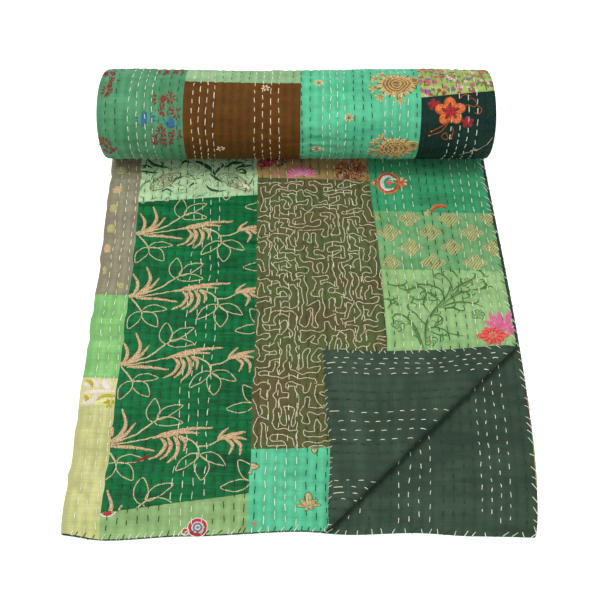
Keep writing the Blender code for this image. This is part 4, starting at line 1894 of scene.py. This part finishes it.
OVAL_THREADS = (
    "dark_orange_floss",
    "dark_brown_print",
    "orange_floss",
    "dark_brown_print",
    "beige_print",
    "red_print",
    "dark_brown_print",
)
PINK_PETALS = ((104, 34), (128, 38), (152, 34), (178, 24), (72, 36), (40, 26), (10, 18), (-30, 16))
CORAL_PETALS = (0, 26, 58, 92, 124, 152, 180, 206, 240, 270, 300, 332)
FAN = (2, 628)
FAN_RAYS = (
    # turns, reach, half width, cloth, start, height, kind
    ((8, 24, 40, 57, 74, 90, 106, 123, 140, 156, 172), 25, 2.8, "pink_floss", 0.3, 0.6, "petal"),
    ((0, 16, 32, 48, 65, 82, 98, 115, 132, 148, 164, 180), 26, 0.8, "pale_pink_floss", 0.3, 1.0, "line"),
    ((30, 65, 90, 115, 150), 13, 2.4, "pale_pink_floss", 0.2, 1.0, "petal"),
)


def sew_wreath(sew, middle):
    """The emerald patch's orange wreath round a white crescent, with flowers at its sides."""
    for turn in full(30):
        sew.dot(beside(middle, turn, 18, 22), 2.3, "orange_floss", 1.0)
        sew.rays(beside(middle, turn, 15, 19), turn + 70, 4, 0.8, "dark_orange_floss", -1, 1.2, "drop")
    crescent = [beside(middle, math.degrees(a), 11.5, 14.5) for a in np.linspace(0.8, 5.6, 12)]
    sew.draw("brush", 4.6, crescent, "white_floss", 0.8)
    for a in np.linspace(1.3, 5.0, 13):
        sew.rays(middle, math.degrees(a), 16, 0.45, "grey_floss", 0.55, 1.3, "line")
    sew.draw("drop", 5.0, ((145, 615), (156, 615)), "coral_floss", 1.0)
    sew.draw("brush", 1.6, ((150, 621), (157, 623), (164, 619)), "white_floss", 1.3)
    sew.draw("brush", 1.3, ((146, 617), (153, 618), (162, 613)), "gold_embroidery", 1.4)
    sew.draw("brush", 1.5, ((158, 605), (164, 601), (167, 608)), "red_floss", 1.2)
    sew.rays((171, 616), full(6, 20), 11, 3.0, "orange_floss", 0.1, 1.0)
    sew.rays((171, 616), (80, 20, -40), 10, 1.6, "white_floss", 0.45, 1.4)
    sew.dot((171, 616), 2.4, "dark_orange_floss", 1.6)
    sew.rays((127, 614), (130, 180, 230), 8, 2.2, "orange_floss", 0, 1.0)
    sew.dot((124, 614), 1.8, "white_floss", 1.4)

    sew.rays((210, 549), (35, 80, 150, 200, 260), 8, 2.2, "zari", 0.0)
    for shift, cloth in ((0, "orange_floss"), (-3.4, "dark_orange_floss")):
        leaf = ((214, 554 + shift), (223, 564 + shift), (232, 567 + shift), (242, 562 + shift))
        sew.draw("petal", 3.0, leaf, cloth, 0.9)


def sew_fan(sew):
    """The brown print's pink fan, its blossoms and its ovals of loose stitches."""
    for turns, *ray in FAN_RAYS:
        sew.rays(FAN, turns, *ray)
    sew.rays((-34, 632), (100, 150), 10, 2.0, "pink_floss", 0.1)
    sew.blossom((-52, 665), 13, 6, "red_print", "dark_thread")
    sew.blossom((-75, 655), 8, 5, "coral_floss", "dark_thread")
    sew.rays((-35, 664), (-60, -20, 20, 70, 130, 200), 14, 1.3, "dark_thread", 0.2, 0.6, "brush")
    for number in range(104):
        turn, out = 137.5 * number, math.sqrt((number + 2) / 106)
        at = beside((86, 642), turn, 27 * out, 24 * out)
        cloth = OVAL_THREADS[number % len(OVAL_THREADS)]
        width, height = 0.7 + 0.4 * (number % 2), 0.8 + 0.2 * (number % 3)
        sew.rays(at, turn + 60 + 130 * lattice(number, 4, 5), 7.5, width, cloth, -0.4, height, "brush")
    for number in range(26):
        at = (-70 + 36 * lattice(number, 1, 5), 650 + 28 * lattice(number, 2, 5))
        cloth = ("crimson_floss", "dark_brown_print", "red_print")[number % 3]
        sew.rays(at, 360 * lattice(number, 3, 5), 7, 1.7, cloth, -0.5, 0.6, "brush")


def sew_small_motifs():
    sew = Motifs(UPPER, 35)
    sew_wreath(sew, (148, 614))

    pink, coral = (312, 322), (291, 312)
    sew.window = window_of("scroll_green")
    for turn, reach in PINK_PETALS:
        sew.rays(pink, turn, reach, 5.2, "pink_floss", 0.05, 0.9)
        sew.rays(pink, (turn + 6, turn - 6), 0.8 * reach, 0.7, "rose_print", 0.3, 1.4, "line")
    sew.window = None
    for number, turn in enumerate(CORAL_PETALS):
        reach = 25 - 8 * abs(math.sin(math.radians(turn))) - 3 * (number % 2)
        sew.rays(coral, turn, reach, 5.4, "coral_floss", 0.05, 1.2)
        sew.rays(coral, turn + 12, 0.8 * reach, 0.9, "red_floss", 0.4, 1.8, "line")
    sew.rays(coral, full(7), 7, 1.4, "gold_embroidery", 0.25, 2.0)
    sew.dot(coral, 2.0, "orange_floss", 2.4)

    sew.window = window_of("sage")
    white, red = (13.4, 0.7, "white_floss"), (10.6, 2.3, "red_print")
    purple = ((7.4, 0.7, "white_floss"), (5.4, 1.3, "purple_print"), (3.2, 0.8, "white_floss"))
    sew.rings((-137, 9), white, red, *purple)
    sew.dot((-137, 9), 1.6, "purple_print")
    sew.rings((-153, 3), (5.0, 0.7, "white_floss"), (2.6, 1.7, "red_print"))
    sew.rings((-260, 36), (12, 0.9, "white_floss"), (8, 3.2, "red_print"))

    sew.window = None
    sew.bud((12, 40), 0.95)
    sew.window = window_of("mint")
    sew.bud((-76, 97), 0.95, -90)
    sew.bud((20, 134), 0.85, 180)
    sew.rays((-62, 12), (20, 70, 120), 6, 1.4, "orange_floss", 0.1)

    sew.window = window_of("brown_print")
    sew_fan(sew)
    sew.piece("small_motifs")


# The left column: gold marks at the fold, and white leaves on the yellow print

TAUPE_MARKS = (
    # place, cloth
    ((-303, 642), "faded_gold"),
    ((-304, 598), "peach_print"),
    ((-306, 558), "faded_gold"),
    ((-306, 515), "faded_gold"),
    ((-308, 475), "peach_print"),
    ((-311, 432), "faded_gold"),
)
YELLOW_STROKES = {
    # cloth and height: the half width of each stroke, and the places it passes
    ("white_print", 0.45): (
        (3.4, (-322, 209), (-306, 214), (-290, 216), (-262, 216)),
        (4.6, (-320, 202), (-306, 197), (-296, 204), (-293, 216)),
        (5.0, (-318, 219), (-313, 226), (-304, 222)),
        (5.6, (-286, 240), (-284, 228), (-274, 219)),
        (4.8, (-303, 238), (-298, 228), (-290, 222)),
        (4.2, (-312, 240), (-300, 242), (-288, 240)),
    ),
    ("mustard_print", 0.6): (
        (3.6, (-313, 234), (-306, 230), (-301, 222)),
        (3.4, (-312, 209), (-308, 203), (-310, 198)),
        (3.2, (-294, 200), (-286, 207), (-276, 209), (-264, 208)),
        (3.2, (-284, 196), (-274, 199), (-264, 197)),
    ),
}


def print_left_column():
    sew = Motifs(UPPER, 36, window_of("taupe"))
    for place, cloth in TAUPE_MARKS:
        for row in range(6):
            shift, reach = sew.random.uniform(-2, 2), 9 - abs(row - 2.5)
            up = 2.6 * row - 6.5
            line = ((shift - reach, up), (shift, up + 0.6), (shift + reach, up))
            sew.draw("brush", 1.9, line, cloth, 0.4, place)
    sew.rays((-279, 404), full(6), 6, 2.6, "faded_gold", 0.1, 0.4)
    sew.window = window_of("yellow_print")
    for (cloth, height), strokes in YELLOW_STROKES.items():
        for width, *line in strokes:
            sew.draw("brush", width, line, cloth, height)
    sew.window = None
    sew.rays((-276, 196), (0, 60, 110, 250, 300), 8, 1.8, "mustard_print", 0.1, 0.4)
    sew.piece("print_left_column")


# The sage print: brushed leaves and faint paisleys

SAGE_SCATTER = 230
SAGE_MARKS = ("print_sage", "pale_sage_print", "aqua_print", "deep_green_print", "pale_sage_print")
SAGE_DOWN = 5  # how far the strokes and spots below lie nearer than their tables say
SAGE_STROKES = {
    # cloth: the half width of each stroke, and the places it passes
    "deep_green_print": (
        (1.8, (-262, 674), (-247, 660), (-224, 653)),
        (1.4, (-270, 656), (-262, 658), (-250, 652)),
        (1.5, (-271, 647), (-256, 643), (-240, 642)),
        (1.5, (-202, 660), (-196, 668), (-186, 664)),
        (2.4, (-182, 670), (-164, 661), (-148, 646), (-144, 636)),
        (1.6, (-144, 636), (-138, 650), (-124, 664)),
        (1.7, (-152, 640), (-142, 630), (-130, 621)),
        (2.2, (-128, 654), (-114, 664), (-96, 664)),
        (1.8, (-110, 652), (-98, 657), (-80, 658)),
        (1.6, (-106, 646), (-98, 650), (-92, 642), (-104, 642)),
        (1.4, (-214, 622), (-206, 630), (-196, 634)),
        (1.5, (-158, 616), (-150, 606), (-136, 602), (-124, 603)),
        (1.1, (-186, 610), (-180, 618), (-172, 620)),
        (1.1, (-232, 600), (-222, 606), (-212, 600)),
    ),
    "print_sage": ((1.2, (-268, 600), (-264, 614), (-254, 626)),),
    "white_print": ((1.6, (-98, 622), (-90, 612), (-82, 606)),),
}
SAGE_SPOTS = ((-230, 661), (-260, 655), (-128, 660), (-92, 658), (-110, 622), (-236, 626))
PAISLEYS = (((-251, 600), (-201, 635)), ((-136, 634), (-82, 597)))  # base, tip


def print_sage_leaves():
    sew = Motifs(UPPER, 37, window_of("sage_print"))
    uniform = sew.random.uniform
    for number in range(SAGE_SCATTER):
        x, y = uniform(-272, -74), uniform(566, 668)
        turn = 180 * noise(x / 40, y / 40, 4) + uniform(-30, 30)
        cloth = SAGE_MARKS[number % len(SAGE_MARKS)]
        width, reach = uniform(0.8, 2.0), uniform(6, 14)
        if cloth == "deep_green_print":
            y, width, reach = y + 0.4 * max(0, 640 - y), 0.55 * width, 0.8 * reach
        sew.rays((x, y), turn, reach, width, cloth, -0.3, 0.36, "brush")
    for cloth, strokes in SAGE_STROKES.items():
        for width, *points in strokes:
            sew.draw("brush", 1.75 * width, np.array(points) - (0, SAGE_DOWN), cloth, 0.5)
    for base, tip in PAISLEYS:
        middle = np.add(base, tip) / 2
        for share, width in ((1.0, 1.1), (0.74, 0.6), (0.5, 0.9), (0.25, 0.7)):
            ends = [middle + share * (np.array(end) - middle) for end in (base, tip)]
            sew.draw("line", width, leaf_outline(*ends, 25 * share, 2), "rose_brown_print", 0.55)
    for x, y in SAGE_SPOTS:
        sew.rays((x, y - SAGE_DOWN), (150, 200), 9, 1.8, "deep_green_print", 0, 0.35, "brush")
        sew.dot((x, y - SAGE_DOWN), 1.7, "white_print", 0.6)
    sew.piece("print_sage")


# The roll's motifs: their places are across, and up round the roll from its front

RED_SPRIGS = (
    (-308, 154), (-301, 131), (-308, 111), (-222, 164), (-200, 168), (-225, 96), (-208, 98),
    (-218, 77), (-196, 73), (-222, 39), (-234, 20), (-214, 17), (-199, 34), (-317, 17),
    (-309, -4), (-268, 189), (-250, 192), (-296, 226), (-216, 250), (-272, 262), (-204, 216),
)
SPRIG_HOOK = ((-12, -4), (-5, 1), (3, -2), (10, 4), (13, -1))
BLUE_FLOWERS = ((-248, 61, 1.0), (-207, 53, 0.8), (-290, 205, 0.9))  # place, size
BROWN_STARS = ((-55, 120), (-129, -1), (-40, 196))
MINT_FLOWERS = ((30, 131), (78, 63), (27, -2))
GOLD_PAISLEYS = ((155, 124), (155, 0), (150, 246))
PAISLEY_SPRIGS = ((-30, 13, 165), (-33, -6, 190), (-24, -22, 220), (-20, 23, 135), (4, -25, 270))
TEAL_FLOWER = (240, 74)
TEAL_RAYS = (
    # turns, reach, half width, cloth, start, height, kind
    (full(5, 18), 16, 4.0, "crimson_floss", 0.02, 1.6, "petal"),
    (full(5, 54), 12, 2.2, "red_floss", 0.02, 1.6, "petal"),
    (full(10), 23, 0.6, "dark_orange_floss", 0.6, 1.5, "line"),
)
TEAL_STEMS = (
    ((234, 52), (224, 46), (211, 38)),
    ((236, 52), (226, 38), (208, 30)),
    ((244, 48), (246, 38), (244, 26)),
    ((245, 34), (236, 22), (228, 28), (234, 36), (238, 26)),
    ((260, 82), (268, 86), (278, 82), (282, 90), (274, 98), (268, 94)),
    ((282, 86), (290, 78), (286, 70), (278, 72)),
    ((254, 96), (262, 104), (274, 102)),
)
LIME_SCATTER = 240
LIME_MARKS = (
    "rose_print",
    "leaf_print",
    "coral_print",
    "rose_print",
    "leaf_print",
    "rose_brown_print",
    "purple_print",
    "leaf_print",
    "red_print",
    "white_print",
)


def print_sea(sew):
    """Red sprigs and blue flowers, at the roll's left end."""
    uniform = sew.random.uniform
    for place in RED_SPRIGS:
        turn = uniform(0, 360)
        for angle in (0, 45, 85, 130, 175, 215, 260, 305):
            reach = uniform(9, 14)
            sew.rays(place, angle + turn, reach, uniform(1.9, 2.7), "red_sprig", 0.25, 0.42)
        sew.draw("line", 0.7, SPRIG_HOOK, "red_sprig", 0.5, place, turn)
    for x, y, size in BLUE_FLOWERS:
        for angle in full(14, 15):
            sew.rays((x, y), angle, uniform(10, 20) * size, 2.4, "blue_print", -0.3, 0.4, "brush")


def sew_gold_paisley(sew, place):
    """A gold paisley ringed with leaves, and a smaller one at its side."""
    for number, turn in enumerate(full(15, 5)):
        reach = 26 + 3 * (number % 3)
        leaf = beside(place, turn, 21, 16.8)
        sew.rays(leaf, (turn - 30, turn + 25), 0.35 * reach, 2.2, "bright_gold", -0.3, 0.8)
        sew.rays(leaf, turn, 0.4 * reach, 1.0, "old_gold", -0.2, 1.3, "line")
    lean = math.degrees(0.1)
    sew.draw("drop", 18, ((-23, 0), (0, 0), (23, 0)), "old_gold", 1.0, place, lean)
    for reach in (1.0, 0.78, 0.56, 0.34):
        outline = leaf_outline((-24 * reach, 0), (24 * reach, 2), 44 * reach)
        sew.draw("line", 1.0, outline, "bright_gold", 1.6, place, lean)
    sew.rays(place, (0, 180), 7, 1.0, "bright_gold", 0, 1.6)
    aside = (place[0] + 29, place[1] + 9)
    sew.draw("drop", 9, ((-6, 0), (7, 0)), "old_gold", 1.0, aside, math.degrees(0.5))
    for reach in (1.0, 0.6):
        outline = leaf_outline((-8 * reach, -3 * reach), (9 * reach, 4 * reach), 19 * reach)
        sew.draw("line", 0.9, outline, "bright_gold", 1.6, aside)
    for across, up, turn in PAISLEY_SPRIGS:
        leaf = (place[0] + across, place[1] + up)
        for bend in (-40, 0, 40):
            sew.rays(leaf, turn + bend, 13, 2.5, "bright_gold", -0.3, 0.8)
            sew.rays(leaf, turn + bend, 9, 0.7, "old_gold", -0.1, 1.3, "line")
    if place[1] == 0:  # the middle one has chevrons on it
        for offset in (-20, -12, -4, 4, 12, 20):
            chevron = ((offset - 6, 13), (offset + 2, 0), (offset - 6, -13))
            sew.draw("line", 1.0, chevron, "bright_gold", 2.2, place, lean)


def sew_teal(sew):
    """Orange flowers with their stems, at the roll's right end."""
    for angle in full(5, 18):
        petal = ((2, 0), (12, 1), (26, 0))
        sew.draw("drop", 10.5, petal, "dark_orange_floss", 0.7, TEAL_FLOWER, angle)
        sew.draw("drop", 9.2, ((4, 0), (24.5, 0)), "orange_floss", 1.1, TEAL_FLOWER, angle)
    for row in TEAL_RAYS:
        sew.rays(TEAL_FLOWER, *row)
    for at in ((214, 86), (268, 55)):
        sew.blossom(at, 11, 5, "crimson_floss", "red_floss")
    for points in TEAL_STEMS:
        sew.draw("line", 0.7, points, "dark_orange_floss", 0.6)
    for at in ((211, 38), (208, 30), (244, 24)):
        sew.dot(at, 1.8, "orange_floss", 0.8)
    sew.draw("line", 0.5, ((311, 26), (300, 6), (284, -7), (262, -24)), "zari")
    sew.rays((284, -7), (0, 60, 180, 240), 6, 1.5, "zari", 0.1, 0.7)


def print_lime(sew):
    """Small flowers and leaves scattered over the right end's lime print."""
    uniform = sew.random.uniform
    for number in range(LIME_SCATTER):
        at = (uniform(190, 312), uniform(92, 225))
        cloth = LIME_MARKS[number % len(LIME_MARKS)]
        if cloth == "leaf_print":
            sew.rays(at, uniform(0, 360), 8, 2.0, cloth, -0.4, 0.36, "brush")
        else:
            size = uniform(3.0, 5.0)
            sew.rays(at, full(5, uniform(0, 72)), size, size * 0.42, cloth, 0.1, 0.4, "drop")


def sew_roll_motifs():
    sew = Motifs(ROLL, 38, rolled_window("sea_print"))
    print_sea(sew)
    sew.window = None
    for at in BROWN_STARS:
        sew.rays(at, full(6, 10), 7.5, 1.9, "peach_floss", 0.3, 0.7)
        sew.rays(at, full(6, 40), 4.5, 0.7, "zari", 0.2, 1.0, "line")
    sew.window = rolled_window("mint")
    for at in MINT_FLOWERS:
        sew.rays(at, full(8, 12), 9, 1.9, "bright_gold", 0.25, 0.8)
        for turn in full(7, 30):
            sew.dot(beside(at, turn, 6), 1.1, "white_floss", 1.2)
        sew.dot(at, 1.8, "old_gold", 1.2)
    for place in GOLD_PAISLEYS:
        sew_gold_paisley(sew, place)
    sew.window = rolled_window("teal")
    sew_teal(sew)
    sew.window = rolled_window("lime_print")
    print_lime(sew)
    sew.piece("roll_motifs")


# ---------------------------------------------------------------- camera, light and floor

LENS = 60
CAMERA_HEIGHT = 1.285
CAMERA_BACK = 0.492  # from the front line
CAMERA_DOWN = math.radians(55.77)
LIGHTS = (
    # name, place, size, power
    ("key", (-0.9, 0.1, 2.1), 1.1, 40),
    ("fill", (0.8, -1.6, 2.0), 2.0, 15),
)
WORLD_STRENGTH = 0.57
FLOOR_GLOW = 0.7  # so that it comes out as white as the photo's ground
FLOOR_REACH = 6
FLOOR_HEIGHT = -0.0004  # a little below what rests on it


def add_camera():
    data = bpy.data.cameras.new("camera")
    data.lens = LENS
    data.sensor_width = 36
    camera = bpy.data.objects.new("camera", data)
    camera.location = (-CENTRE_X, -CAMERA_BACK - CENTRE_Y, CAMERA_HEIGHT)
    camera.rotation_euler = (math.pi / 2 - CAMERA_DOWN, 0, 0)
    bpy.context.scene.collection.objects.link(camera)
    bpy.context.scene.camera = camera


def add_light(name, place, size, power):
    """A round light that points at the middle of the quilt."""
    data = bpy.data.lights.new(name, "AREA")
    data.shape = "DISK"
    data.size = size
    data.energy = power
    light = bpy.data.objects.new(name, data)
    light.location = place
    x, y, z = place
    light.rotation_euler = (math.atan2(math.hypot(x, y), z), 0, math.atan2(-y, -x) - math.pi / 2)
    bpy.context.scene.collection.objects.link(light)


def add_world():
    world = bpy.data.worlds.new("studio")
    world.use_nodes = True
    background = world.node_tree.nodes["Background"]
    background.inputs["Color"].default_value = (1, 1, 1, 1)
    background.inputs["Strength"].default_value = WORLD_STRENGTH
    bpy.context.scene.world = world
    bpy.context.scene.view_settings.view_transform = "Standard"


def add_floor():
    m = Material("studio_floor", 0.9, 0, 0.1)
    m.colour(m.ramp(m.noise(0.4, 0.4), ((0.3, grey(0.80)), (0.7, grey(0.82)))))
    m.shader.inputs["Emission Color"].default_value = (1, 1, 1, 1)
    m.shader.inputs["Emission Strength"].default_value = FLOOR_GLOW
    mesh = bpy.data.meshes.new("floor")
    corners = [(x, y, 0) for x, y in ((-1, -1), (1, -1), (1, 1), (-1, 1))]
    mesh.from_pydata([np.multiply(corner, FLOOR_REACH) for corner in corners], [], [(0, 1, 2, 3)])
    mesh.materials.append(m.material)
    floor = bpy.data.objects.new("floor", mesh)
    floor.location.z = FLOOR_HEIGHT
    bpy.context.scene.collection.objects.link(floor)


def main():
    add_camera()
    for light in LIGHTS:
        add_light(*light)
    add_world()
    add_floor()
    build_loose_end()
    build_roll()
    stitch_loose_end()
    stitch_roll()
    whip_loose_end()
    whip_roll()
    embroider_silk()
    couch_olive()
    weave_brocade()
    print_scrolls()
    sew_small_motifs()
    print_left_column()
    print_sage_leaves()
    sew_roll_motifs()


main()
